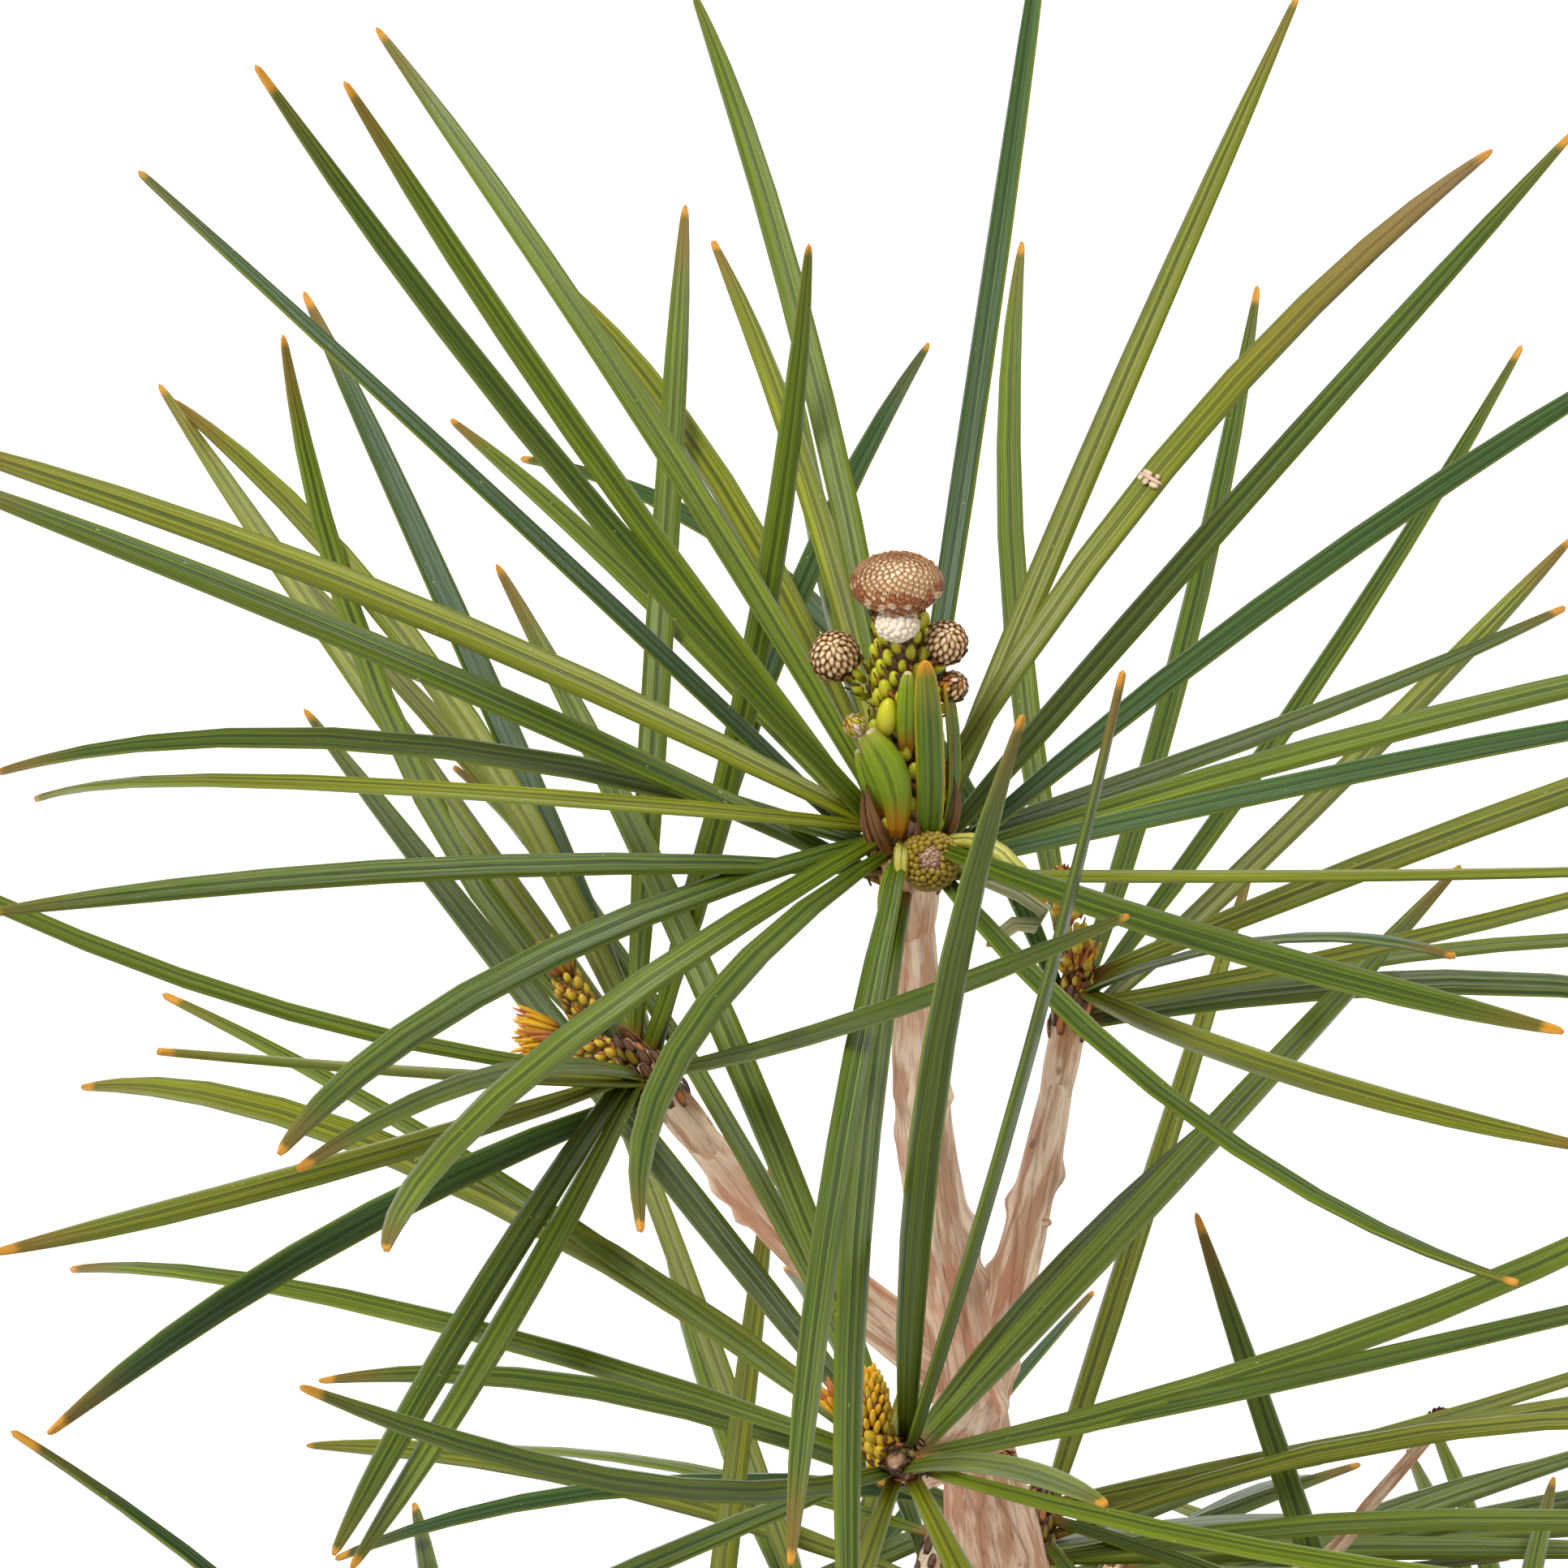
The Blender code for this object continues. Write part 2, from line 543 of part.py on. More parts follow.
def make_pot():
    pot = place("pot", turned(pot_profile(), POT_SEGMENTS), material("clay", CLAY))
    for i in range(HOLE_COUNT):
        turn = 2 * math.pi * (i + 0.25) / HOLE_COUNT
        bm = bmesh.new()
        spot = Matrix.Translation((HOLE_RING * math.cos(turn), HOLE_RING * math.sin(turn), POT_FLOOR / 2))
        bmesh.ops.create_cone(
            bm, cap_ends=True, segments=HOLE_SIDES, radius1=HOLE_RADIUS, radius2=HOLE_RADIUS,
            depth=2 * POT_FLOOR, matrix=spot,
        )
        cutter = place(f"drain_cutter_{i}", bm)
        cutter.hide_render = True
        cutter.display_type = "WIRE"
        drain = pot.modifiers.new(f"drain_{i}", "BOOLEAN")
        drain.operation = "DIFFERENCE"
        drain.object = cutter
    return pot


def soil_profile():
    bottom = POT_FLOOR + GAP
    return [
        (0.0, bottom), (inner_radius(bottom) - GAP, bottom), (inner_radius(SOIL_TOP) - GAP, SOIL_TOP),
        (0.0, SOIL_TOP),
    ]


def make_bough(spec, cutter, look):
    points, radii, _ = bough_course(spec)
    item = place(f"bough_{spec['name']}", lofted(round_frames(points, radii), BOUGH_SIDES), look)
    seat = item.modifiers.new("seat", "BOOLEAN")
    seat.operation = "DIFFERENCE"
    seat.object = cutter
    return item


def side_twigs(spec, foot, shoot):
    """Side twigs that leave a whorl's stem near its foot, each to a whorl of its own."""
    rng = random.Random(spec["seed"] + 100)
    twigs = []
    for i in range(spec["twigs"]):
        turn = SIDE_TWIG_TURN * (1 if i % 2 else -1)
        turn += rng.uniform(-SIDE_TWIG_TURN_SPREAD, SIDE_TWIG_TURN_SPREAD)
        way = (Matrix.Rotation(math.radians(turn), 3, "Z") @ shoot).normalized()
        twigs.append((foot + shoot * STEM_LENGTH / 3, foot + way * SIDE_TWIG_LENGTH, way))
    return twigs


def mass_wood(spec):
    """The stem, side twigs and cone heads of one mass, as loose bodies."""
    points, limb_radii, shoot = bough_course(spec)
    foot, hub = points[-1] + shoot * GAP, spec["hub"]
    bodies = [lofted(stem_frames(foot, shoot, hub, limb_radii[-1]), BOUGH_SIDES)]
    for start, end, way in side_twigs(spec, foot, shoot):
        course = [start, start.lerp(end, 0.5), end, end + way * WHORL_HEIGHT]
        radii = [SIDE_TWIG_RADIUS * size for size in (1.0, 1.0, WHORL_SWELL, BUD_SCALE)]
        bodies.append(lofted(round_frames(course, radii), TWIG_SIDES))
    bodies += heads_on(hub, HEADS.get(spec["name"], ()))
    if spec["name"] == "middle_back":
        stalk = [hub] + [hub + Vector(offset) for offset in DRY_STALK]
        bodies += [stalk_body(stalk, DRY_STALK_RADIUS), head_body(stalk[-1], DRY_HEAD_RADIUS, 1.0)]
    return bodies


def mass_needles(spec, others):
    """The needles of one mass, at its stem's whorl and at those of its side twigs."""
    rng = random.Random(spec["seed"])
    points, radii, shoot = bough_course(spec)
    rows = list(spec["rows"]) + ring_rows(rng, shoot, spec["count"])
    kept = whorl_needles(rng, spec["hub"], shoot, radii[-1] * WHORL_SWELL, rows, others)
    for _, end, way in side_twigs(spec, points[-1] + shoot * GAP, shoot):
        rows = ring_rows(rng, way, SIDE_TWIG_COUNT)
        kept += whorl_needles(rng, end, way, SIDE_TWIG_RADIUS * WHORL_SWELL, rows, others)
    return kept


def top_wood():
    """The leader's hub with its cluster of young cones and its short leaves, as loose bodies."""
    height, x, y, radius = TRUNK_COURSE[-1]
    hub = [Vector((x, y, height + GAP)), TOP_HUB, TOP_HUB + Vector((0, 0, TOP_HUB_HALF))]
    bodies = [lofted(round_frames(hub, [radius, TOP_HUB_RADIUS, TOP_HUB_RADIUS]), TOP_HUB_SIDES)]
    return bodies + top_cluster()


def lowest_boughs():
    """Five boughs set round the trunk's lowest joint, each a little higher than the one before."""
    specs = []
    for i, (bearing, seed) in enumerate(zip(LOWEST_BEARINGS, LOWEST_SEEDS)):
        height = LOWEST_JOINT + LOWEST_STAGGER * (i * 2 % len(LOWEST_BEARINGS))
        out = Vector((math.cos(math.radians(bearing)), math.sin(math.radians(bearing)), 0.0))
        hub = trunk_middle(height) + out * LOWEST_REACH + Vector((0, 0, LOWEST_CLIMB))
        specs.append(bough(f"lowest_{i + 1}", height, 0.0033, hub, count=LOWEST_COUNT, twigs=2, seed=seed))
    return specs


def main():
    clear_scene()
    bark, green = material("bark", BARK), material("needle_green", GREEN)
    make_pot()
    place("soil", turned(soil_profile(), SOIL_SEGMENTS), material("earth", EARTH))
    place("trunk", lofted(trunk_frames(), TRUNK_SIDES), bark)
    cutter = place("trunk_cutter", lofted(trunk_frames(GAP), TRUNK_SIDES))
    cutter.hide_render = True
    cutter.display_type = "WIRE"

    specs = BOUGHS + lowest_boughs()
    solids = (lofted(trunk_frames(), TRUNK_SIDES), turned(pot_profile(), POT_SEGMENTS),
              turned(soil_profile(), SOIL_SEGMENTS))
    taken = [("base", tree_of(body)) for body in solids]
    for spec in specs:
        make_bough(spec, cutter, bark)
        points, radii, _ = bough_course(spec)
        taken.append(("bough", tree_of(lofted(round_frames(points, radii), BOUGH_SIDES))))
        taken += [(spec["name"], tree_of(body)) for body in mass_wood(spec)]
    taken += [("top", tree_of(body)) for body in top_wood()]

    kept = whorl_needles(random.Random(1), TOP_HUB, Vector((0, 0, 1)), TOP_HUB_RADIUS, TOP_NEEDLES,
                         [tree for owner, tree in taken if owner != "top"])
    fuse("needles_top", top_wood() + [needle_body(start, row) for start, row, _ in kept], green)
    taken += [("top", tree) for _, _, tree in kept]
    for spec in specs:
        kept = mass_needles(spec, [tree for owner, tree in taken if owner != spec["name"]])
        bodies = mass_wood(spec) + [needle_body(start, row) for start, row, _ in kept]
        fuse(f"needles_{spec['name']}", bodies, green)
        taken += [(spec["name"], tree) for _, _, tree in kept]


main()
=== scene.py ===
import random
from math import acos, asin, atan2, ceil, copysign, cos, degrees, exp, pi, radians, sin, sqrt

import bmesh
import bpy
import numpy as np
from mathutils import Matrix, Vector, noise
from mathutils.bvhtree import BVHTree


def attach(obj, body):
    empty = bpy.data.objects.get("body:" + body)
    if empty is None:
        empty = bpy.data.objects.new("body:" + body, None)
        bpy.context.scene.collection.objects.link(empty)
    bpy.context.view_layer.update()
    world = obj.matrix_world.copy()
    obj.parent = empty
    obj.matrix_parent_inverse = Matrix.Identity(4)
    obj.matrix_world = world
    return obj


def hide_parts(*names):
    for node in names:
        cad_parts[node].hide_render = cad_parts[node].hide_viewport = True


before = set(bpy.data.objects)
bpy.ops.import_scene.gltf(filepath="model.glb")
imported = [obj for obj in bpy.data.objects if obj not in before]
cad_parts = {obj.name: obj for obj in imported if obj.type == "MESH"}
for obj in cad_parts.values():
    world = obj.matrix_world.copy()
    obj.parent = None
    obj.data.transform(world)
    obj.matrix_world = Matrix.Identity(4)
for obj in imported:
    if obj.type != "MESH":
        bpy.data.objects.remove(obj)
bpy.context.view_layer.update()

UP = Vector((0.0, 0.0, 1.0))

# The view: along +Y and down, with the leader's whorl at its place in the picture
PICTURE_SIDE = 1932
LEADER_PIXEL = (1120, 1050)
PIXELS_PER_METRE = 13000
VIEW_DROP = 30
LENS = 135
SENSOR = 36

# Sizes that the source gives: gap, pot and soil
GAP = 0.0003
POT_HEIGHT = 0.15
POT_FOOT_RADIUS = 0.06
POT_NECK_RADIUS = 0.079
POT_RIM_RADIUS = 0.087
POT_WALL = 0.006
POT_FLOOR = 0.009
RIM_HEIGHT = 0.026
RIM_LEAN = 0.002
POT_EDGE = 0.0015
POT_SEGMENTS = 36
HOLE_RADIUS = 0.005
HOLE_RING = 0.028
HOLE_COUNT = 3
SOIL_TOP = 0.138
SOIL_SEGMENTS = 24

# The trunk's middle and radius at heights from the cut at the soil to the tip
TRUNK_FOOT_RADIUS = 0.0105
TRUNK_COURSE = (
    (SOIL_TOP + GAP, 0.006, 0.0, TRUNK_FOOT_RADIUS),
    (0.144, 0.0058, 0.0002, 0.0085),
    (0.156, 0.005, 0.0008, 0.0074),
    (0.175, 0.0035, 0.0015, 0.0071),
    (0.19, 0.0019, 0.0018, 0.0067),
    (0.213, -0.0012, 0.0016, 0.0063),
    (0.236, -0.0045, 0.001, 0.006),
    (0.255, -0.0078, 0.0004, 0.0052),
    (0.269, -0.0104, 0.0, 0.005),
    (0.28, -0.0122, 0.0, 0.004),
    (0.29, -0.0138, 0.0, 0.0038),
    (0.302, -0.0158, 0.0, 0.0033),
    (0.318, -0.018, 0.0, 0.003),
    (0.343, -0.0198, 0.0, 0.0027),
)
TRUNK_POINTS = [Vector((x, y, height)) for height, x, y, _ in TRUNK_COURSE]
TRUNK_RADII = [radius for *_, radius in TRUNK_COURSE]
TRUNK_SIDES = 12

# Boughs and twigs
BOUGH_SIDES = 8
BOUGH_STATIONS = 6
BOUGH_LIFT = 0.12
BOUGH_FOOT_SCALE = 1.12
BOUGH_TIP_SCALE = 0.7
TWIG_SIDES = 5
STEM_LENGTH = 0.008
WHORL_HEIGHT = 0.007
WHORL_SWELL = 1.35
WHORL_BAND = 0.6
BUD_SCALE = 0.6

# Needles as the source grows them
NEEDLE_LENGTH = 0.095
NEEDLE_HALF_WIDTH = 0.0016
NEEDLE_HALF_THICKNESS = 0.0007
NEEDLE_ROOT_HALF_WIDTH = 0.0007
NEEDLE_BLUNT = 0.95
NEEDLE_STEPS = 24
NEEDLE_CLEARANCE = 0.0004
NEEDLE_ROLL_LEAN = 24
NEEDLE_ROLL_SPREAD = 22
NEEDLE_SINK = 0.6
STEEPEST = 0.2
BEND_PER_STATION = 32
NUDGE_SIZES = (1.5, 3.0, 4.5, 6.5, 9.0)
NUDGE_WAYS = 8

# The top whorl
TOP_HUB = Vector((-0.02, 0.0, 0.35))
TOP_HUB_RADIUS = 0.004
TOP_HUB_HALF = 0.0065
TOP_HUB_SIDES = 9


def needle(bearing, rise, droop=0, sweep=0, length=NEEDLE_LENGTH):
    """A needle's attitude: it leaves at bearing and rise, then turns down by droop and round by sweep."""
    return {"bearing": bearing, "rise": rise, "droop": droop, "sweep": sweep, "length": length}


def needles(*rows):
    """Attitudes of a whorl's needles: bearing, rise, droop, sweep and length of each."""
    return tuple(needle(*row) for row in rows)


# Needles that show in the picture, whorl by whorl, read one by one
TOP_NEEDLES = needles(
    (150, 32, -1, 3, 0.099), (173, 48, -10, -4), (168, 52, -6, -4, 0.09), (135, 48, 16, -2),
    (107, 21, 19, 11, 0.094), (106, 56, 46, -2, 0.098), (100, 4, 5, -8), (101, 24, 23, 2), (120, 9, 15, -2, 0.096),
    (78, 46, 14, 3, 0.105), (61, 39, 5, -1, 0.1), (43, 48, 39, 4, 0.094), (42, 30, 1, -2, 0.1), (32, 25, 9, -3),
    (39, -6, -1, 9), (24, 4, 5, -2), (5, 13, 8, -1), (-45, 21, -2, 3), (-60, 17, -2, 7), (-57, -15, -34, 2, 0.088),
    (-100, -11, -10, 7, 0.096), (-100, -16, 17, 14, 0.096), (235, 7, -3, 41, 0.086), (217, -8, -34, 57, 0.102),
    (206, 1, -12, 54, 0.088), (205, 16, 5, 12), (187, 14, 48, -64, 0.102), (170, 15, 45, -23, 0.099),
    (174.6, 25, 6, 1, 0.101), (171, 28, 13, 1, 0.1),
)
FRONT_NEEDLES = needles(
    (147, 23, 19, -1, 0.09), (156, 32, 64, -26, 0.108), (172, 19, 51, -43, 0.1), (245, 28, -11, -35, 0.092),
    (220, 8, 15), (256, -1, 22, 3), (286, 1, 19, 2), (285, 39, 12, -1, 0.07), (18, -1, -20, 7), (13, 6, -1, -1),
    (-42, 13, -9, 6), (67, -4, 4, -9), (54, 9, -2, -1, 0.1), (-56, 72, -7, 19, 0.099), (-91, 76, 11, 27, 0.108),
    (128, 25, 0, -1, 0.1), (120, 38, 48, -4, 0.103), (120, 47, 25, -2, 0.101),
)
LEFT_NEEDLES = needles(
    (115, 35, 13, -2, 0.1), (133, 12, -55, -22, 0.09), (94, -9, -49, 60), (127, 24, -3, 0, 0.098),
    (121, 42, 35, 11, 0.097), (87, 52, 28, 3, 0.094), (48, 60, -18, 24, 0.082), (70, 53, 38, -6, 0.086),
    (212, 25, -17, -11, 0.094), (239, 31, 0, 1, 0.09), (248, 37, 24, -2, 0.08), (239, 18, -2, -10),
    (225, 7, 5, 17, 0.094), (247, -2, -9, 11, 0.083), (254, -2, -3, -4, 0.079), (-67, 35, -5, 22, 0.094),
)
RIGHT_NEEDLES = needles(
    (71, 23, -5, 8, 0.098), (55, 16, -10, 4, 0.102), (51, 8, -4), (10, 22, 5, -1), (-57, 42, 19, -15, 0.083),
    (1, 10, -12, 3), (33, -5, 14, -11), (19, 0, 27, -6, 0.094), (-70, 21, -1, 17), (103, 39, 14, -22, 0.091),
    (134, 62, 76, 8, 0.093),
)
LOW_RIGHT_NEEDLES = needles(
    (72, 20), (8, 20, 40), (-3, 12, 25), (15, 5, 5), (27, -6, -12), (-65, 0, 10), (60, -30, 6), (105, -30, 8),
    (152, -8, 30), (-30, 5, 25), (149, 9, 38),
)
MIDDLE_LEFT_NEEDLES = needles((81, 35, 0, 0, 0.1), (180, 68, 28, 0, 0.103))
MIDDLE_RIGHT_NEEDLES = needles((117, 42, 0, 0, 0.08))
MIDDLE_BACK_NEEDLES = needles((113, 33, 4))


def bough(name, foot_height, foot_radius, hub, rows=(), count=0, twigs=0, seed=0):
    """A bough from the trunk at foot_height to the whorl whose middle is hub."""
    return {
        "name": name, "foot_height": foot_height, "foot_radius": foot_radius, "hub": Vector(hub),
        "rows": rows, "count": count, "twigs": twigs, "seed": seed,
    }


# The boughs that show, then those below the picture, set round two lower joints of the trunk
BOUGHS = [
    bough("front", 0.286, 0.003, (-0.0206, -0.03, 0.3009), FRONT_NEEDLES, seed=2),
    bough("left", 0.2885, 0.0027, (-0.0446, 0.004, 0.3218), LEFT_NEEDLES, seed=3),
    bough("right", 0.283, 0.0025, (-0.0023, 0.03, 0.3139), RIGHT_NEEDLES, seed=4),
    bough("low_right", 0.251, 0.0024, (-0.0052, 0.019, 0.2552), LOW_RIGHT_NEEDLES, seed=4),
    bough("middle_left", 0.208, 0.0031, (-0.046, -0.029, 0.223), MIDDLE_LEFT_NEEDLES, 12, 1, seed=11),
    bough("middle_right", 0.213, 0.003, (0.04, -0.01, 0.225), MIDDLE_RIGHT_NEEDLES, 12, 1, seed=12),
    bough("middle_back", 0.202, 0.0029, (-0.025, 0.046, 0.211), MIDDLE_BACK_NEEDLES, 12, 1, seed=18),
]
LOWEST_JOINT = 0.168
LOWEST_BEARINGS = (28, 102, 168, 243, 312)
LOWEST_FOOT_RADIUS = 0.0033
LOWEST_REACH = 0.062
LOWEST_CLIMB = 0.019
LOWEST_STAGGER = 0.0045
LOWEST_COUNT = 9
LOWEST_SEEDS = (21, 22, 23, 24, 25)

# A whorl that follows the rule: its needles' lean, steepest rise, droop, sweep and length, each as a middle
# and a spread, then how far each turns from its even place and how far all lean up
RING_LEAN, RING_STEEPEST, RING_DROOP, RING_SWEEP = (66, 14), (-2, 9), (18, 12), (0.0, 8)
RING_LENGTH, RING_TURN_SPREAD, RING_LIFT = (NEEDLE_LENGTH, 0.008), 0.3, 0.16
SIDE_TWIG_LENGTH, SIDE_TWIG_RADIUS, SIDE_TWIG_COUNT = 0.026, 0.0015, 6
SIDE_TWIG_TURN, SIDE_TWIG_TURN_SPREAD = 48, 6

# Cone clusters: middle of each round head from its whorl's middle, then its radius and how flat it is
TOP_HEADS = (
    ((-0.0014, 0.0, 0.0292), 0.0043, 0.68),
    ((-0.0014, -0.0012, 0.0254), 0.0022, 0.85),
    ((-0.0071, -0.0005, 0.0216), 0.0026, 0.9),
    ((0.0031, -0.0005, 0.0232), 0.0023, 0.9),
    ((0.004, -0.001, 0.0187), 0.0018, 0.9),
    ((0.0022, -0.005, 0.002), 0.0028, 0.95),
)
TOP_AXIS = ((0.0045, 0.0036), (0.012, 0.0033), (0.02, 0.0028), (0.0262, 0.0017))
TOP_AXIS_LEAN = -0.0012
LEFT_HEADS = (((-0.0113, 0.002, 0.0042), 0.0021, 1.0), ((-0.0105, 0.0055, 0.0105), 0.0019, 1.0))
FRONT_HEADS = (((-0.003, -0.001, 0.0075), 0.0017, 1.4),)
RIGHT_HEADS = (((0.0006, 0.001, 0.0066), 0.0016, 1.2),)
HEADS = {"left": LEFT_HEADS, "front": FRONT_HEADS, "right": RIGHT_HEADS}
HEAD_SIDES = 8
HEAD_RINGS = 5
STALK_RADIUS = 0.0011
STALK_DROP = 0.006
DRY_STALK = (
    (0.026, 0.002, 0.003), (0.0518, 0.0039, 0.0155), (0.059, 0.004, 0.025), (0.066, 0.0041, 0.0358),
)
DRY_BOUGH = "middle_back"
DRY_STALK_RADIUS = 0.0008
DRY_HEAD_RADIUS = 0.0017

# The fine growth that this script adds within the same reach
EXTRA_RING_COUNT = 10
EXTRA_TWIG_COUNT = 6
EXTRA_SEED = 400
FINE_HALF_WIDTH = 0.00158
FINE_HALF_THICKNESS = 0.00042
FINE_STATIONS = (0.0, 0.07, 0.18, 0.31, 0.44, 0.57, 0.69, 0.79, 0.87, 0.93, 0.967, 0.986, 0.995)
FINE_WIDTHS = (
    (0.0, 0.5), (0.07, 0.66), (0.18, 0.88), (0.31, 0.98), (0.5, 1.0), (0.64, 0.95), (0.79, 0.82),
    (0.88, 0.66), (0.94, 0.47), (0.97, 0.36), (0.986, 0.29), (0.995, 0.19), (1.0, 0.0),
)
FINE_SIDES = 8
FINE_TWIST = 30
FINE_WAVE = 0.0006
FINE_WAVES = (0.6, 1.4)
FINE_NARROWEST = 0.88
# A blade's section: how near its middle the groove lies, how deep it is and where its shoulders stand
GROOVE_REACH, GROOVE_DEPTH = 0.2, 0.55
SHOULDER_REACH, SHOULDER_PLACE = 0.9, 0.6
BLADE_THINNEST = 0.55
# Where random draws start: for the leader's needles, each whorl's finish, cones, short leaves and chips
LEADER_SEED, NEEDLE_SEED, CONE_SEED, LEAF_SEED, CHIP_SEED, CHIP_SHAPE_SEED = 1, 900, 77, 55, 31, 5
TRUNK_FINE_SIDES = 56
TRUNK_RING_STEP = 0.0007
LIMB_RING_STEP = 0.0006
# Limbs by kind: sides, where in the noise their relief starts and how deep it is
LIMB_KINDS = {
    "bough": (28, 11.0, 0.00022), "stub": (28, 47.0, 0.0003), "stem": (20, 31.0, 0.00016),
    "twig": (20, 61.0, 0.00014), "dry": (12, 71.0, 0.0001), "leader": (20, 91.0, 0.00016),
}
BOUGH_KNOBS = 9
TOP_HUB_SLIM = 0.78
FINE_TWIG_RADII = [SIDE_TWIG_RADIUS * size for size in (1.0, 1.0, 1.05, 0.35)]
# A fine stem: places from its foot in metres, places round its whorl in bands, and its radii as shares
STEM_FOOT_PLACES, STEM_BAND_PLACES = (-0.003, 0.0, 0.002), (-1.0, 0.5, 1.2)
STEM_SIZES = (0.76, 0.91, 0.99, 1.0, 0.9, 0.3)
STEM_OVERLAP = 0.0012
LEADER_COLLAR, LEADER_SIZES = 0.001, (0.8, 0.97, TOP_HUB_SLIM, 0.8)
DRY_FOOT_SCALE, DRY_TAPER = 1.5, 0.6
# How much slimmer the bark starts below its flakes, and each limb's tip below its stem
TRUNK_SLIM = 0.0002
TIP_SLIM = 0.9


# The source's growth rule, written again

def level_way(bearing, climb=0.0):
    """The way at a bearing in degrees, level or with a part upwards."""
    return Vector((cos(radians(bearing)), sin(radians(bearing)), climb))


def varied(rng, middle, spread):
    return middle + rng.uniform(-spread, spread)


def loft(bm, frames, sides, tip=None):
    """Skins the unit circle seen through each frame, closes it flat or in a point, and returns its rings."""
    def extruded(edges):
        grown = bmesh.ops.extrude_edge_only(bm, edges=edges)["geom"]
        return [[part for part in grown if isinstance(part, kind)]
                for kind in (bmesh.types.BMEdge, bmesh.types.BMVert)]

    bmesh.ops.create_circle(bm, cap_ends=True, segments=sides, radius=1.0, matrix=frames[0])
    rim, rings = bm.edges[:], [bm.verts[:]]
    for before, after in zip(frames, frames[1:]):
        rim, ring = extruded(rim)
        bmesh.ops.transform(bm, matrix=after @ before.inverted(), verts=ring)
        rings.append(ring)
    if tip:
        bmesh.ops.pointmerge(bm, verts=extruded(rim)[1], merge_co=tip)
    else:
        bmesh.ops.contextual_create(bm, geom=rim)
    return rings


def lofted(frames, sides, tip=None):
    """A closed plain body lofted through frames."""
    bm = bmesh.new()
    loft(bm, frames, sides, tip)
    bmesh.ops.recalc_face_normals(bm, faces=bm.faces)
    return bm


def frame_of(side, normal, along, middle):
    return Matrix.Translation(middle) @ Matrix((side, normal, along)).transposed().to_4x4()


def sized(middle, x, y, z):
    return Matrix.Translation(middle) @ Matrix.Diagonal((x, y, z, 1.0))


def held(value, low, high):
    return min(high, max(low, value))


def round_frames(points, radii):
    """Frames square to a limb's course, turned as little as possible from one to the next."""
    frames = []
    side = Vector((0.0, 0.0, 1.0))
    for i, (point, radius) in enumerate(zip(points, radii)):
        along = (points[min(i + 1, len(points) - 1)] - points[max(i - 1, 0)]).normalized()
        if abs(along.dot(side)) > 0.99:
            side = Vector((1.0, 0.0, 0.0))
        side = (side - along * along.dot(side)).normalized()
        frames.append(frame_of(side * radius, along.cross(side) * radius, along, point))
    return frames


def upright_frames(points, radii):
    return [frame_of(Vector((radius, 0, 0)), Vector((0, radius, 0)), UP, point)
            for point, radius in zip(points, radii)]


def trunk_middle(height):
    """The trunk's middle at a height between its foot and its tip."""
    for i, ((low, *_), (high, *_)) in enumerate(zip(TRUNK_COURSE, TRUNK_COURSE[1:])):
        if height <= high:
            return TRUNK_POINTS[i].lerp(TRUNK_POINTS[i + 1], (height - low) / (high - low))
    raise ValueError("above the trunk's tip")


def bough_course(spec):
    """Points and radii from the trunk's middle to the bough's tip, and the way its shoot points there."""
    foot, hub = trunk_middle(spec["foot_height"]), spec["hub"]
    bend = foot.lerp(hub, 0.5) - UP * (BOUGH_LIFT * (hub - foot).length)
    shoot = (hub - bend).normalized()
    tip = hub - shoot * (STEM_LENGTH + GAP)
    points, radii = [], []
    for i in range(BOUGH_STATIONS):
        t = i / (BOUGH_STATIONS - 1)
        points.append(foot.lerp(bend, t).lerp(bend.lerp(tip, t), t))
        radii.append(spec["foot_radius"] * (BOUGH_FOOT_SCALE + (BOUGH_TIP_SCALE - BOUGH_FOOT_SCALE) * t))
    return points, radii, shoot


def needle_course(start, row):
    """Points along a needle with its side, normal and way at each, by even steps from its root to its tip."""
    point, out = start.copy(), []
    for i in range(NEEDLE_STEPS + 1):
        part = i / NEEDLE_STEPS
        rise = radians(row["rise"] - row["droop"] * part)
        out_way = level_way(row["bearing"] + row["sweep"] * part)
        level = UP.cross(out_way)
        along = out_way * cos(rise) + Vector((0.0, 0.0, sin(rise)))
        roll = radians(row["roll"])
        side = level * cos(roll) + along.cross(level) * sin(roll)
        out.append((point.copy(), side, along.cross(side), along))
        point += along * row["length"] / NEEDLE_STEPS
    return out


def needle_body(start, row, grow=0.0):
    """The source's plain needle, swollen by grow, for the test that a needle comes clear."""
    course = needle_course(start, row)
    bend = abs(row["droop"]) + abs(row["sweep"])
    stations = 2 + ceil(bend / BEND_PER_STATION)
    frames = []
    for i in range(stations + 1):
        part = NEEDLE_BLUNT * i / stations
        middle, side, normal, along = course[round(part * NEEDLE_STEPS)]
        half = NEEDLE_ROOT_HALF_WIDTH if i == 0 else NEEDLE_HALF_WIDTH
        thick = NEEDLE_HALF_THICKNESS + grow
        frames.append(frame_of(side * (half + grow), normal * thick, along, middle))
    return lofted(frames, 4, tip=course[-1][0])


def tree_of(bm):
    found = BVHTree.FromBMesh(bm)
    bm.free()
    return found


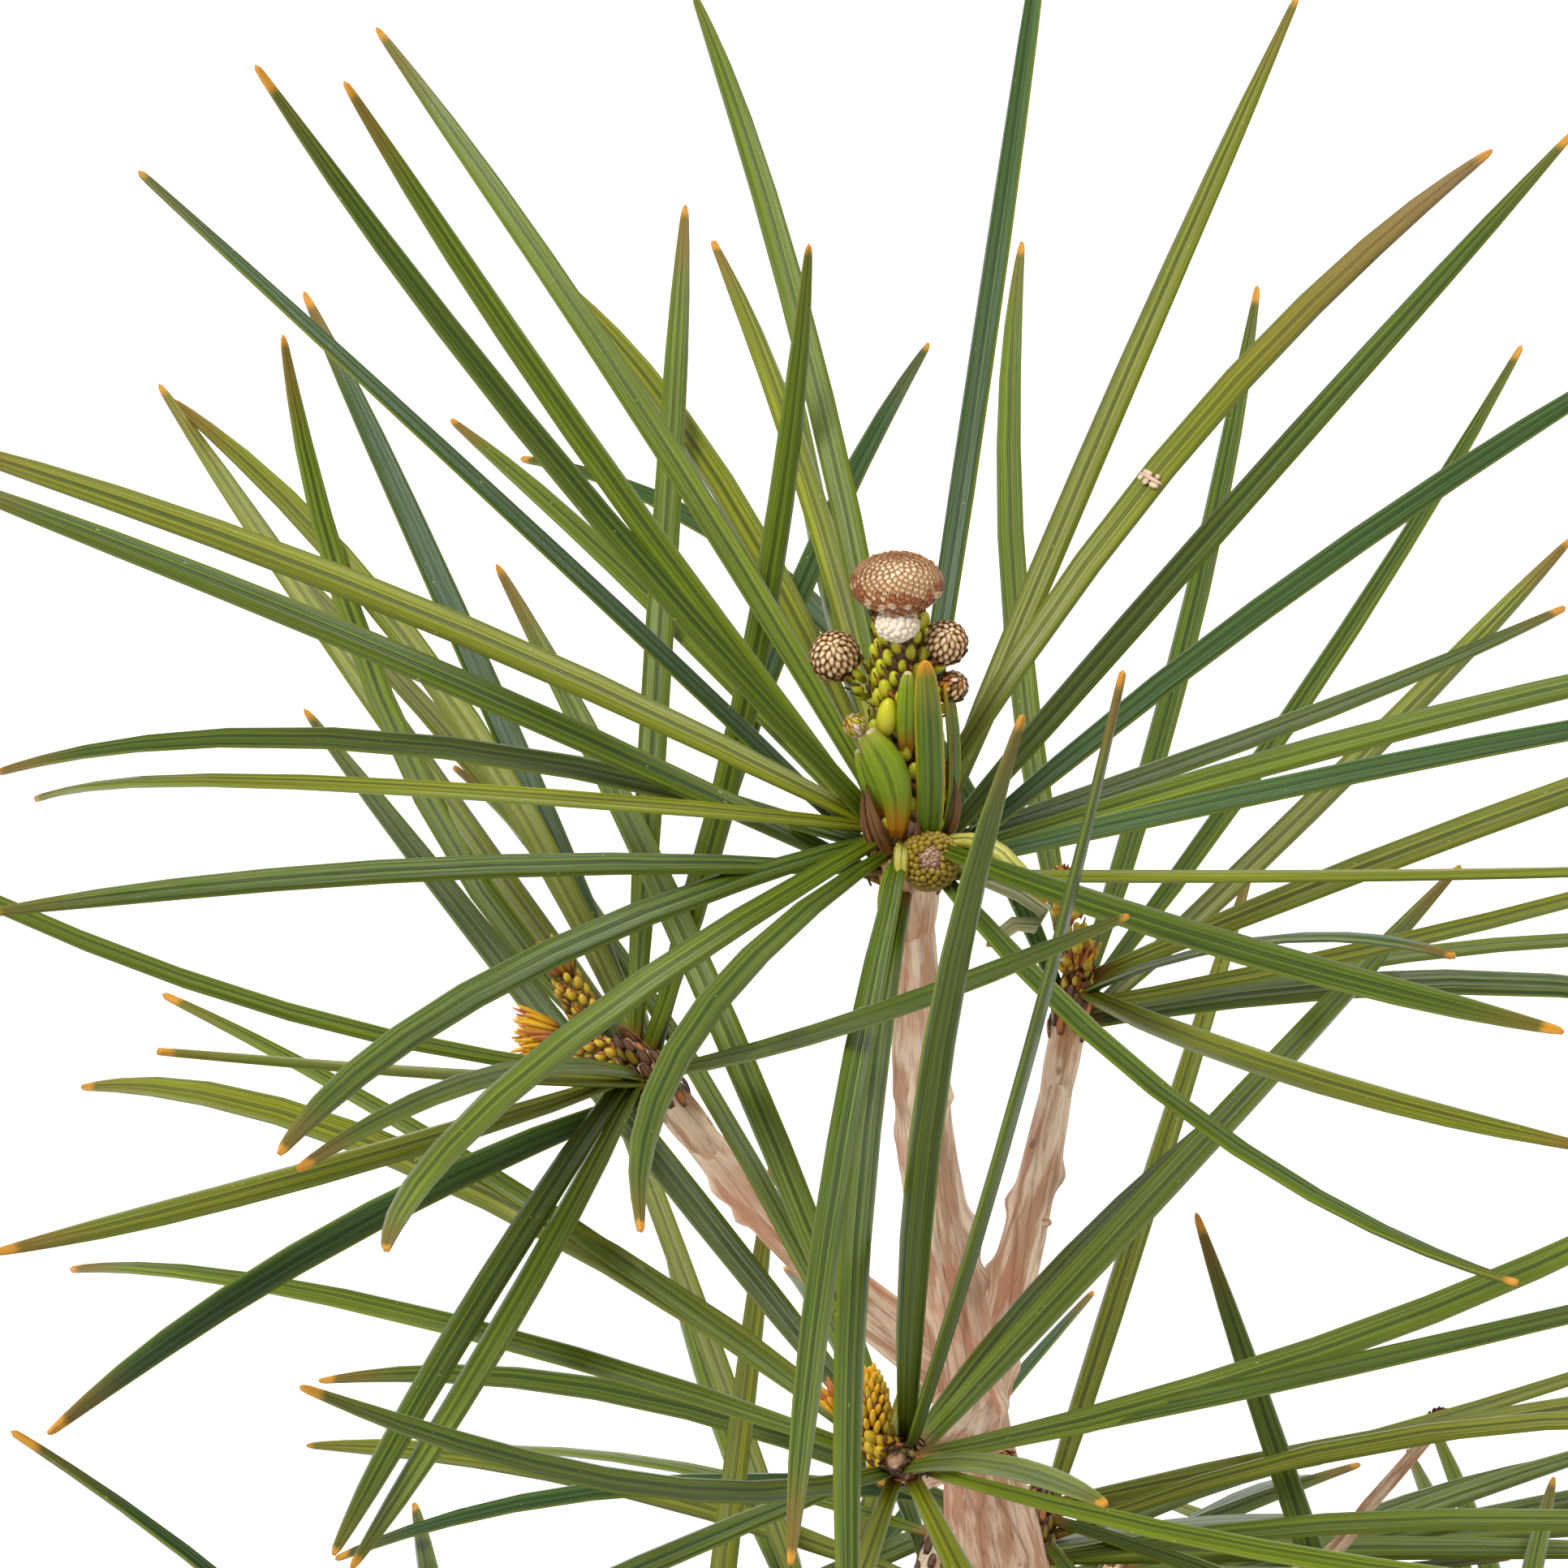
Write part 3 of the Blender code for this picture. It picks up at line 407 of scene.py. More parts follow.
def ring_rows(rng, shoot, count):
    """Attitudes of a whorl's needles, spread round its shoot by the rule."""
    across = shoot.orthogonal().normalized()
    rows = []
    for i in range(count):
        turn = 2 * pi * varied(rng, i, RING_TURN_SPREAD) / count
        lean = radians(varied(rng, *RING_LEAN))
        out = Matrix.Rotation(turn, 3, shoot) @ across
        way = (shoot * cos(lean) + out * sin(lean) + Vector((0, 0, RING_LIFT))).normalized()
        bearing = degrees(atan2(way.y, way.x))
        rise = min(varied(rng, *RING_STEEPEST), degrees(asin(held(way.z, -1.0, 1.0))))
        droop, length, sweep = (varied(rng, *spread) for spread in (RING_DROOP, RING_LENGTH, RING_SWEEP))
        rows.append(needle(bearing, rise, droop, sweep, length))
    return rows


def nudges():
    """Turns and lifts, small ones first, that may bring a needle clear of what it touches."""
    yield 0.0, 0.0
    for size in NUDGE_SIZES:
        for i in range(NUDGE_WAYS):
            way = 2 * pi * i / NUDGE_WAYS
            yield size * cos(way), size * sin(way)


def aimed(row, shift):
    """The row turned so that a needle that starts off the whorl's middle still ends where it was read."""
    rise, out = radians(row["rise"]), level_way(row["bearing"])
    level = UP.cross(out)
    over = Vector((0.0, 0.0, cos(rise))) - out * sin(rise)
    turn = -shift.dot(level) / (row["length"] * max(cos(rise), STEEPEST))
    lift = -shift.dot(over) / row["length"]
    return dict(row, bearing=row["bearing"] + degrees(turn), rise=row["rise"] + degrees(lift))


def whorl_needles(rng, hub, shoot, radius, rows, others):
    """The whorl's needles that come clear of limbs and other masses, each turned a little if need be."""
    kept = []
    for row in rows:
        shift = shoot * varied(rng, 0.0, WHORL_HEIGHT) / 2
        row = aimed(row, shift)
        lean = NEEDLE_ROLL_LEAN * cos(radians(row["bearing"]))
        row["roll"] = varied(rng, lean, NEEDLE_ROLL_SPREAD)
        for turn, lift in nudges():
            tried = dict(row, bearing=row["bearing"] + turn, rise=row["rise"] + lift)
            out = level_way(tried["bearing"]) * cos(radians(tried["rise"]))
            start = hub + shift + out * radius * NEEDLE_SINK
            tree = tree_of(needle_body(start, tried, grow=NEEDLE_CLEARANCE))
            if not any(tree.overlap(other) for other in others):
                kept.append((start, tried, tree))
                break
    return kept


def stem_frames(foot, shoot, hub, radius):
    """A whorl's stem: it starts clear of the bough's tip, swells where the needles sit and ends in a bud."""
    band = shoot * WHORL_HEIGHT * WHORL_BAND
    points = [foot, hub - band, hub + band, hub + shoot * WHORL_HEIGHT]
    radii = [radius, radius * WHORL_SWELL, radius * WHORL_SWELL, radius * BUD_SCALE]
    return round_frames(points, radii)


def head_body(middle, radius, flat):
    bm = bmesh.new()
    bmesh.ops.create_uvsphere(bm, u_segments=HEAD_SIDES, v_segments=HEAD_RINGS, radius=1.0,
                              matrix=sized(middle, radius, radius, radius * flat))
    return bm


def stalk_body(points, radius):
    return lofted(round_frames(points, [radius] * len(points)), TWIG_SIDES)


def heads_on(hub, heads, foot_of=lambda offset: Vector()):
    """Round heads, each on a stalk from the place that foot_of gives."""
    bodies = []
    for offset, radius, flat in heads:
        middle = hub + Vector(offset)
        bodies.append(stalk_body([hub + foot_of(offset), middle], STALK_RADIUS))
        bodies.append(head_body(middle, radius, flat))
    return bodies


def stalk_foot(offset):
    """Where the stalk of a head on the leader leaves its axis."""
    return Vector((TOP_AXIS_LEAN, 0, max(0.0, offset[2] - STALK_DROP)))


def top_wood():
    """The leader's hub, axis and cone heads as plain bodies, for the test that a needle comes clear."""
    hub = [TRUNK_POINTS[-1] + UP * GAP, TOP_HUB, TOP_HUB + UP * TOP_HUB_HALF]
    bodies = [lofted(round_frames(hub, [TRUNK_RADII[-1], TOP_HUB_RADIUS, TOP_HUB_RADIUS]), TOP_HUB_SIDES)]
    last = len(TOP_AXIS) - 1
    axis = [TOP_HUB + Vector((TOP_AXIS_LEAN * i / last, 0, rise)) for i, (rise, _) in enumerate(TOP_AXIS)]
    bodies.append(lofted(round_frames(axis, [radius for _, radius in TOP_AXIS]), BOUGH_SIDES))
    return bodies + heads_on(TOP_HUB, TOP_HEADS, stalk_foot)


def side_twigs(spec, foot, shoot):
    """Side twigs that leave a whorl's stem near its foot, each to a whorl of its own."""
    rng = random.Random(spec["seed"] + 100)
    twigs = []
    for i in range(spec["twigs"]):
        turn = varied(rng, SIDE_TWIG_TURN * (1 if i % 2 else -1), SIDE_TWIG_TURN_SPREAD)
        way = (Matrix.Rotation(radians(turn), 3, "Z") @ shoot).normalized()
        twigs.append((foot + shoot * STEM_LENGTH / 3, foot + way * SIDE_TWIG_LENGTH, way))
    return twigs


def twig_course(start, end, way):
    return [start, start.lerp(end, 0.5), end, end + way * WHORL_HEIGHT]


def twig_radii():
    return [SIDE_TWIG_RADIUS * size for size in (1.0, 1.0, WHORL_SWELL, BUD_SCALE)]


def dry_stalk(hub):
    return [hub] + [hub + Vector(offset) for offset in DRY_STALK]


def mass_wood(spec):
    """The stem, side twigs and cone heads of one mass, as loose plain bodies."""
    points, limb_radii, shoot = bough_course(spec)
    foot, hub = points[-1] + shoot * GAP, spec["hub"]
    bodies = [lofted(stem_frames(foot, shoot, hub, limb_radii[-1]), BOUGH_SIDES)]
    for start, end, way in side_twigs(spec, foot, shoot):
        bodies.append(lofted(round_frames(twig_course(start, end, way), twig_radii()), TWIG_SIDES))
    bodies += heads_on(hub, HEADS.get(spec["name"], ()))
    if spec["name"] == DRY_BOUGH:
        stalk = dry_stalk(hub)
        bodies += [stalk_body(stalk, DRY_STALK_RADIUS), head_body(stalk[-1], DRY_HEAD_RADIUS, 1.0)]
    return bodies


def mass_needles(spec, others, seed, read_rows, count, twig_count):
    """The needles of one mass, at its stem's whorl and at those of its side twigs."""
    rng = random.Random(seed)
    points, radii, shoot = bough_course(spec)
    rows = [*read_rows, *ring_rows(rng, shoot, count)]
    kept = whorl_needles(rng, spec["hub"], shoot, radii[-1] * WHORL_SWELL, rows, others)
    for _, end, way in side_twigs(spec, points[-1] + shoot * GAP, shoot):
        rows = ring_rows(rng, way, twig_count)
        kept += whorl_needles(rng, end, way, SIDE_TWIG_RADIUS * WHORL_SWELL, rows, others)
    return kept


def lowest_boughs():
    """Five boughs set round the trunk's lowest joint, each a little higher than the one before."""
    specs = []
    for i, (bearing, seed) in enumerate(zip(LOWEST_BEARINGS, LOWEST_SEEDS)):
        height = LOWEST_JOINT + LOWEST_STAGGER * (i * 2 % len(LOWEST_BEARINGS))
        hub = trunk_middle(height) + level_way(bearing) * LOWEST_REACH + Vector((0, 0, LOWEST_CLIMB))
        specs.append(bough(f"lowest_{i + 1}", height, LOWEST_FOOT_RADIUS, hub,
                           count=LOWEST_COUNT, twigs=2, seed=seed))
    return specs


def turned(profile, segments):
    """A closed body spun about Z from a profile that starts and ends on the axis."""
    bm = bmesh.new()
    points = [bm.verts.new((radius, 0.0, height)) for radius, height in profile]
    edges = [bm.edges.new(pair) for pair in zip(points, points[1:])]
    bmesh.ops.spin(
        bm, geom=points + edges, cent=(0, 0, 0), axis=(0, 0, 1),
        angle=2 * pi, steps=segments, use_merge=True,
    )
    bmesh.ops.remove_doubles(bm, verts=bm.verts, dist=0.00001)
    bmesh.ops.recalc_face_normals(bm, faces=bm.faces)
    return bm


def inner_radius(height):
    """The pot's inner wall, which leans out from its floor to its mouth."""
    part = (height - POT_FLOOR) / (POT_HEIGHT - POT_FLOOR)
    low, high = POT_FOOT_RADIUS - POT_WALL, POT_NECK_RADIUS - POT_WALL + RIM_LEAN
    return low + (high - low) * part


def pot_profile():
    rim_foot = POT_HEIGHT - RIM_HEIGHT
    return [
        (0.0, 0.0), (POT_FOOT_RADIUS - POT_EDGE, 0.0), (POT_FOOT_RADIUS, POT_EDGE),
        (POT_NECK_RADIUS, rim_foot - POT_EDGE), (POT_RIM_RADIUS - RIM_LEAN - POT_EDGE, rim_foot),
        (POT_RIM_RADIUS - RIM_LEAN, rim_foot + POT_EDGE), (POT_RIM_RADIUS, POT_HEIGHT - POT_EDGE),
        (POT_RIM_RADIUS - POT_EDGE, POT_HEIGHT), (inner_radius(POT_HEIGHT) + POT_EDGE, POT_HEIGHT),
        (inner_radius(POT_HEIGHT), POT_HEIGHT - POT_EDGE), (inner_radius(POT_FLOOR), POT_FLOOR),
        (0.0, POT_FLOOR),
    ]


def soil_profile():
    bottom = POT_FLOOR + GAP
    return [
        (0.0, bottom), (inner_radius(bottom) - GAP, bottom), (inner_radius(SOIL_TOP) - GAP, SOIL_TOP),
        (0.0, SOIL_TOP),
    ]


def grow_plant():
    """Every needle of the plant by the source's rule, whorl by whorl: name to a list of (start, row, tree)."""
    specs = BOUGHS + lowest_boughs()
    trunk = lofted(upright_frames(TRUNK_POINTS, TRUNK_RADII), TRUNK_SIDES)
    solids = (trunk, turned(pot_profile(), POT_SEGMENTS), turned(soil_profile(), SOIL_SEGMENTS))
    taken = [("base", tree_of(body)) for body in solids]
    for spec in specs:
        points, radii, _ = bough_course(spec)
        taken.append(("bough", tree_of(lofted(round_frames(points, radii), BOUGH_SIDES))))
        taken += [(spec["name"], tree_of(body)) for body in mass_wood(spec)]
    taken += [("top", tree_of(body)) for body in top_wood()]
    grown = {}

    def grow(name, rule, *given):
        kept = rule(*given[:-1], [tree for owner, tree in taken if owner != name], *given[-1])
        taken.extend((name, tree) for _, _, tree in kept)
        grown.setdefault(name, []).extend(kept)

    grow("top", whorl_needles, random.Random(LEADER_SEED), TOP_HUB, UP, TOP_HUB_RADIUS, TOP_NEEDLES, ())
    for spec in specs:
        grow(spec["name"], mass_needles, spec, (spec["seed"], spec["rows"], spec["count"], SIDE_TWIG_COUNT))
    for spec in specs[len(BOUGHS):]:
        # Finer growth on the boughs that the picture doesn't show
        grow(spec["name"], mass_needles, spec, (spec["seed"] + EXTRA_SEED, (), EXTRA_RING_COUNT, EXTRA_TWIG_COUNT))
    return specs, grown


# Wiring for the materials

class Wiring:
    """Adds nodes to one node tree and joins them, so that a finish reads as a short recipe."""

    def __init__(self, tree):
        self.tree = tree

    def add(self, kind, *values, **settings):
        """A node with its settings, its first inputs joined to values."""
        node = self.tree.nodes.new(kind)
        for name, value in settings.items():
            setattr(node, name, value)
        for value, socket in zip(values, node.inputs):
            self.join(value, socket)
        return node

    def join(self, value, socket):
        if isinstance(value, bpy.types.NodeSocket):
            self.tree.links.new(value, socket)
        elif isinstance(value, tuple) and len(value) == 3 and socket.type == "RGBA":
            socket.default_value = (*value, 1.0)
        else:
            socket.default_value = value

    def join_named(self, node, **values):
        for label, value in values.items():
            self.join(value, node.inputs[label.replace("_", " ").title()])
        return node

    def math(self, operation, *values):
        return self.add("ShaderNodeMath", *values, operation=operation).outputs[0]

    def times(self, first, second):
        return self.math("MULTIPLY", first, second)

    def scaled(self, value, size, shift):
        return self.math("MULTIPLY_ADD", value, size, shift)

    def share(self, value, steps):
        """A random share for each copy, drawn from its tint."""
        return self.math("FRACT", self.times(value, steps))

    def mix(self, part, first, second):
        node = self.add("ShaderNodeMix", data_type="RGBA")
        for value, place in ((part, 0), (first, 6), (second, 7)):
            self.join(value, node.inputs[place])
        return node.outputs[2]

    def over(self, body, colour, mask, strength=1.0):
        """Lays a colour over the body where mask is, at most as strongly as strength."""
        return self.mix(self.times(mask, strength), body, colour)

    def between(self, value, low, high, first=0.0, last=1.0):
        return self.add("ShaderNodeMapRange", value, low, high, first, last,
                        interpolation_type="SMOOTHSTEP").outputs[0]

    def stretched(self, vector, scale):
        return self.join_named(self.add("ShaderNodeMapping"), vector=vector, scale=scale).outputs[0]

    def noise(self, vector, scale, detail=3.0, roughness=0.55):
        return self.join_named(self.add("ShaderNodeTexNoise"), vector=vector, scale=scale, detail=detail,
                               roughness=roughness).outputs[0]

    def cells(self, vector, scale, feature="F1"):
        """Distance and random colour of cells strewn over the surface."""
        node = self.add("ShaderNodeTexVoronoi", feature=feature)
        return self.join_named(node, vector=vector, scale=scale).outputs[:2]

    def split(self, vector):
        return self.add("ShaderNodeSeparateXYZ", vector).outputs[:3]

    def drawn(self, across, along, seed, wide, long):
        """A place on a blade, drawn out so that a pattern has wide turns across it and long ones along it."""
        return self.add("ShaderNodeCombineXYZ", self.times(across, wide), self.times(along, long), seed).outputs[0]

    def attribute(self, name, output="Fac"):
        return self.add("ShaderNodeAttribute", attribute_name=name).outputs[output]

    def bump(self, height, strength, distance):
        return self.join_named(self.add("ShaderNodeBump"), height=height, strength=strength,
                               distance=distance).outputs[0]

    def put_out(self, out, **values):
        for label, value in values.items():
            self.join(value, out[label.capitalize()])
        return self.tree


COLOUR, NUMBER, ARROW = "NodeSocketColor", "NodeSocketFloat", "NodeSocketVector"
MARKS = (("Colour", COLOUR), ("Roughness", NUMBER), ("Height", NUMBER))


def marks_group(name, inputs):
    """A shader node group that puts out marks: its wiring, its inputs by name and its outputs."""
    tree = bpy.data.node_groups.new(name, "ShaderNodeTree")
    for way, sockets in (("INPUT", inputs), ("OUTPUT", MARKS)):
        for label, kind in sockets:
            tree.interface.new_socket(label, in_out=way, socket_type=kind)
    net = Wiring(tree)
    return net, net.add("NodeGroupInput").outputs, net.add("NodeGroupOutput").inputs


def finish(name, roughness=0.5):
    """A new material, its wiring and its shader."""
    made = bpy.data.materials.new(name)
    made.use_nodes = True
    shader = made.node_tree.nodes["Principled BSDF"]
    shader.inputs["Roughness"].default_value = roughness
    return made, Wiring(made.node_tree), shader


def dress(net, shader, colour, height, strength, depth, roughness=None):
    """Joins a finish's colour, its relief as deep as depth and, if it varies, its roughness to the shader."""
    net.join_named(shader, base_color=colour, normal=net.bump(height, strength, depth))
    if roughness:
        net.join_named(shader, roughness=roughness)


def marked_material(name, marks, relief, attributes, **values):
    """A material whose looks come from one group of marks, given the mesh's attributes and plain values."""
    made, net, shader = finish(name)
    node = net.add("ShaderNodeGroup", node_tree=marks)
    for label, attribute in attributes:
        net.join(net.attribute(*attribute), node.inputs[label])
    for label, value in values.items():
        net.join(value, node.inputs[label.replace("_", " ").capitalize()])
    look = node.outputs
    dress(net, shader, look["Colour"], look["Height"], *relief, look["Roughness"])
    return made, shader


def blade_group():
    """Marks along and across a needle: streaks, painted shade in its groove, a painted highlight on its shoulders,
    edges, pale underside, specks, root and tip.
    """
    colours = [(label, COLOUR) for label in ("Deep", "Light", "Edge", "Band", "Root", "Olive", "Tip")]
    limits = [(label, NUMBER) for label in ("Tint", "Browned from", "Tip from", "Root to")]
    net, given, out = marks_group("blade_marks", [("Map", ARROW), *colours, *limits])
    times, between, over = net.times, net.between, net.over
    across_raw, along, _ = net.split(given["Map"])
    under = net.math("GREATER_THAN", across_raw, 1.0)
    across = net.scaled(net.math("FRACT", across_raw), 2.0, -1.0)
    apart = net.math("ABSOLUTE", across)
    tint, deep, light = given["Tint"], given["Deep"], given["Light"]
    seed = times(tint, 83.0)

    lines = net.noise(net.drawn(across, along, seed, 7.0, 1.6), 1.0, 4.0, 0.6)
    fine = net.noise(net.drawn(across, along, seed, 26.0, 2.2), 1.0, 2.0)
    mottle = net.noise(net.drawn(across, along, seed, 0.8, 5.0), 1.0, 3.0)
    spots, chances = net.cells(net.drawn(across, along, seed, 2.2, 60.0), 1.0)

    body = net.mix(between(lines, 0.4, 0.68), deep, light)
    body = net.mix(between(mottle, 0.35, 0.75, 0.0, 0.55), body, deep)
    body = net.mix(between(fine, 0.5, 0.66, 0.0, 0.6), body, light)
    body = net.mix(between(fine, 0.32, 0.46, 0.45, 0.0), body, deep)
    # Painted shade: the groove down the middle of each face is darkened towards GROOVE_SHADE
    groove = times(between(apart, 0.0, 0.04, 0.3, 1.0), between(apart, 0.09, 0.16, 1.0, 0.0))
    body = over(body, net.mix(0.6, deep, GROOVE_SHADE), groove, 0.72)
    # Painted highlight: the raised shoulders beside the groove are lightened towards the light green
    shoulder_highlight = times(between(apart, 0.16, 0.24), between(apart, 0.26, 0.36, 1.0, 0.0))
    body = over(body, light, shoulder_highlight, 0.45)
    body = over(body, given["Edge"], between(apart, 0.8, 0.94), 0.75)
    dot = net.math("LESS_THAN", spots, between(tint, 0.0, 1.0, 0.06, 0.13))
    rare = net.math("GREATER_THAN", net.split(chances)[0], 0.86)
    body = over(body, given["Band"], times(dot, rare), 0.7)
    below = over(body, given["Band"], between(apart, 0.14, 0.34, 1.0, 0.0), 0.12)
    body = net.mix(under, body, below)

    jitter = net.scaled(net.share(tint, 7.0), 0.022, along)
    browned = between(net.share(tint, 13.0), 0.2, 0.9, 0.25, 0.9)
    olive = times(between(jitter, given["Browned from"], given["Tip from"]), browned)
    body = net.mix(olive, body, given["Olive"])
    body = net.mix(between(jitter, given["Tip from"], 0.999), body, given["Tip"])
    body = net.mix(between(along, 0.005, given["Root to"], 0.8, 0.0), body, given["Root"])

    rough = net.scaled(between(jitter, 0.9, 0.97), 0.15, net.scaled(lines, 0.34, 0.2))
    height = net.scaled(groove, -0.5, net.scaled(lines, 0.7, times(fine, 0.3)))
    return net.put_out(out, colour=body, roughness=rough, height=height)


# Needle greens: how many of a hundred have each, then its dark side and its light side
NEEDLE_GREENS = {
    "deep": (28, (0.028, 0.054, 0.001), (0.115, 0.168, 0.003)),
    "mid": (38, (0.052, 0.086, 0.001), (0.172, 0.23, 0.004)),
    "olive": (26, (0.092, 0.108, 0.001), (0.25, 0.262, 0.007)),
    "blue": (8, (0.011, 0.038, 0.002), (0.056, 0.118, 0.012)),
}
GROOVE_SHADE = (0.01, 0.026, 0.004)
# The needle that is kinked: its whorl, its place in that whorl's rows, the part of it at the kink, its tint
KINKED = ("top", 11, 0.422, 0.07)
# The scar's flat torn lumps, in millimetres: across and along the needle, half width and half length
KINK_LUMPS = (
    (0.0, 0.0, 1.45, 0.24), (-0.7, 0.45, 0.55, 0.34), (0.6, -0.38, 0.6, 0.28),
    (0.2, 0.5, 0.34, 0.42), (-0.5, -0.5, 0.3, 0.3), (0.9, 0.35, 0.3, 0.36),
)
KINK_RISE = 0.00022
# The needles nearest the eye, whose greens are read from the picture: whorl and row to green
GREENS_BY_EYE = {("front", 13): "deep", ("front", 14): "deep", ("front", 4): "deep"}
# Where a needle's colours change: its edges, the pale bands below, its root, its browned end and its tip
NEEDLE_ENDS = {
    "edge": (0.2, 0.24, 0.018), "band": (0.33, 0.36, 0.08), "root": (0.3, 0.15, 0.03),
    "olive": (0.18, 0.105, 0.01), "tip": (0.56, 0.25, 0.018),
    "browned_from": 0.86, "tip_from": 0.985, "root_to": 0.035,
}
LEAF_SHINE = 0.36
# The leader's short leaves: name, deep, light, edge, root, olive and tip colours, then where the
# browned end starts, where the tip starts and where the root ends
SHORT_LEAF_LOOKS = (
    ("young_leaf", (0.07, 0.13, 0.004), (0.15, 0.23, 0.012), (0.6, 0.44, 0.03),
     (0.42, 0.19, 0.02), (0.48, 0.33, 0.015), (0.62, 0.26, 0.015), 0.7, 0.92, 0.1),
    ("fleshy_bract", (0.18, 0.27, 0.004), (0.24, 0.33, 0.008), (0.26, 0.32, 0.015),
     (0.64, 0.15, 0.01), (0.33, 0.33, 0.04), (0.62, 0.52, 0.3), 0.8, 0.97, 0.5),
    ("papery_bract", (0.11, 0.04, 0.014), (0.4, 0.19, 0.07), (0.3, 0.16, 0.08),
     (0.52, 0.19, 0.02), (0.17, 0.07, 0.025), (0.09, 0.035, 0.015), 0.5, 0.9, 0.3),
    ("bleached_leaf", (0.2, 0.21, 0.07), (0.44, 0.42, 0.22), (0.56, 0.48, 0.3),
     (0.2, 0.12, 0.06), (0.42, 0.3, 0.11), (0.36, 0.2, 0.08), 0.75, 0.93, 0.1),
    ("yellowed_leaf", (0.26, 0.28, 0.03), (0.56, 0.5, 0.13), (0.66, 0.43, 0.04),
     (0.3, 0.26, 0.02), (0.56, 0.43, 0.06), (0.62, 0.26, 0.015), 0.55, 0.96, 0.1),
)
SHORT_LEAF_PARTS = ("edge", "root", "olive", "tip", "browned_from", "tip_from", "root_to")


def leaf_material(name, blade, deep, light, **ends):
    made, shader = marked_material(name, blade, (0.55, 0.00022), (("Map", ("Blade", "Vector")), ("Tint", ("Tint",))),
                                   deep=deep, light=light, **{**NEEDLE_ENDS, **ends})
    shader.inputs["Specular IOR Level"].default_value = LEAF_SHINE
    return made


def needle_materials(blade):
    """The greens in their order, then the looks of the kinked needle and of its scar."""
    looks = [leaf_material(f"needle_{name}", blade, deep, light) for name, (_, deep, light) in NEEDLE_GREENS.items()]
    _, deep, light = NEEDLE_GREENS["olive"]
    looks.append(leaf_material("needle_browned", blade, deep, light, olive=(0.2, 0.115, 0.03),
                               browned_from=0.46, tip_from=0.97))
    looks.append(scale_material("kink_scar", (0.56, 0.4, 0.26), (0.3, 0.11, 0.04), (0.8, 0.7, 0.58)))
    return looks


def short_leaf_materials(blade):
    """The looks of the leader's short leaves: fresh green, fleshy, dry and papery, bleached and yellowed."""
    return [leaf_material(name, blade, deep, light, **dict(zip(SHORT_LEAF_PARTS, ends)))
            for name, deep, light, *ends in SHORT_LEAF_LOOKS]


def bark_group():
    """Bark marks on a limb's straightened coordinates: lengthwise fibres, flakes and dark pores."""
    tones = [(label, COLOUR) for label in ("Pale", "Mid", "Dark", "Warm")]
    net, given, out = marks_group("bark_marks", [("Grain", ARROW), *tones, ("Aged", NUMBER)])
    times, between, over, dark = net.times, net.between, net.over, given["Dark"]

    def along_limb(share):
        """The grain drawn out along the limb, to a share of its length."""
        return net.stretched(given["Grain"], (1.0, 1.0, share))

    fibres = net.noise(along_limb(0.045), 4200.0, 5.0, 0.62)
    flakes = net.noise(along_limb(0.14), 700.0, 4.0)
    blotch = net.noise(along_limb(0.5), 150.0)
    crack = between(net.cells(along_limb(0.1), 430.0, "DISTANCE_TO_EDGE")[0], 0.0, 0.06, 1.0, 0.0)
    pores, chances = net.cells(along_limb(0.6), 330.0)
    rare = net.math("GREATER_THAN", net.split(chances)[0], 0.55)
    pore = times(between(pores, 0.08, 0.15, 1.0, 0.0), rare)
    low = between(net.split(given["Grain"])[2], 0.1, 0.19, 0.4, 0.0)

    body = net.mix(between(flakes, 0.42, 0.56), given["Mid"], given["Pale"])
    body = net.mix(between(blotch, 0.46, 0.62, 0.0, 0.6), body, given["Warm"])
    body = over(body, given["Warm"], low, given["Aged"])
    body = net.mix(between(fibres, 0.3, 0.5, 0.5, 0.0), body, dark)
    body = over(over(body, dark, crack, 0.3), dark, pore, 0.6)
    height = net.scaled(crack, -0.35, net.scaled(flakes, 0.8, times(fibres, 0.5)))
    return net.put_out(out, colour=body, roughness=between(fibres, 0.2, 0.8, 0.92, 0.62), height=height)


# Bark: pale, middle, dark and warm tones, and how far it reddens with age towards its foot
OLD_BARK = ((0.86, 0.66, 0.48), (0.56, 0.31, 0.18), (0.16, 0.062, 0.028), (0.56, 0.22, 0.11))
TWIG_BARK = ((0.82, 0.62, 0.43), (0.54, 0.3, 0.165), (0.16, 0.065, 0.03), (0.54, 0.23, 0.1))
BARKS = (("trunk_bark", OLD_BARK, 1.0), ("bough_bark", OLD_BARK, 0.0), ("twig_bark", TWIG_BARK, 0.0))


def bark_materials():
    marks = bark_group()
    return [marked_material(name, marks, (0.6, 0.0004), [("Grain", ("Grain", "Vector"))],
                            pale=pale, mid=mid, dark=dark, warm=warm, aged=aged)[0]
            for name, (pale, mid, dark, warm), aged in BARKS]


def blade_map(net):
    """Where a spot lies across and along its copy, and the copy's tint."""
    across_raw, along, _ = net.split(net.attribute("Blade", "Vector"))
    return across_raw, along, net.attribute("Tint")


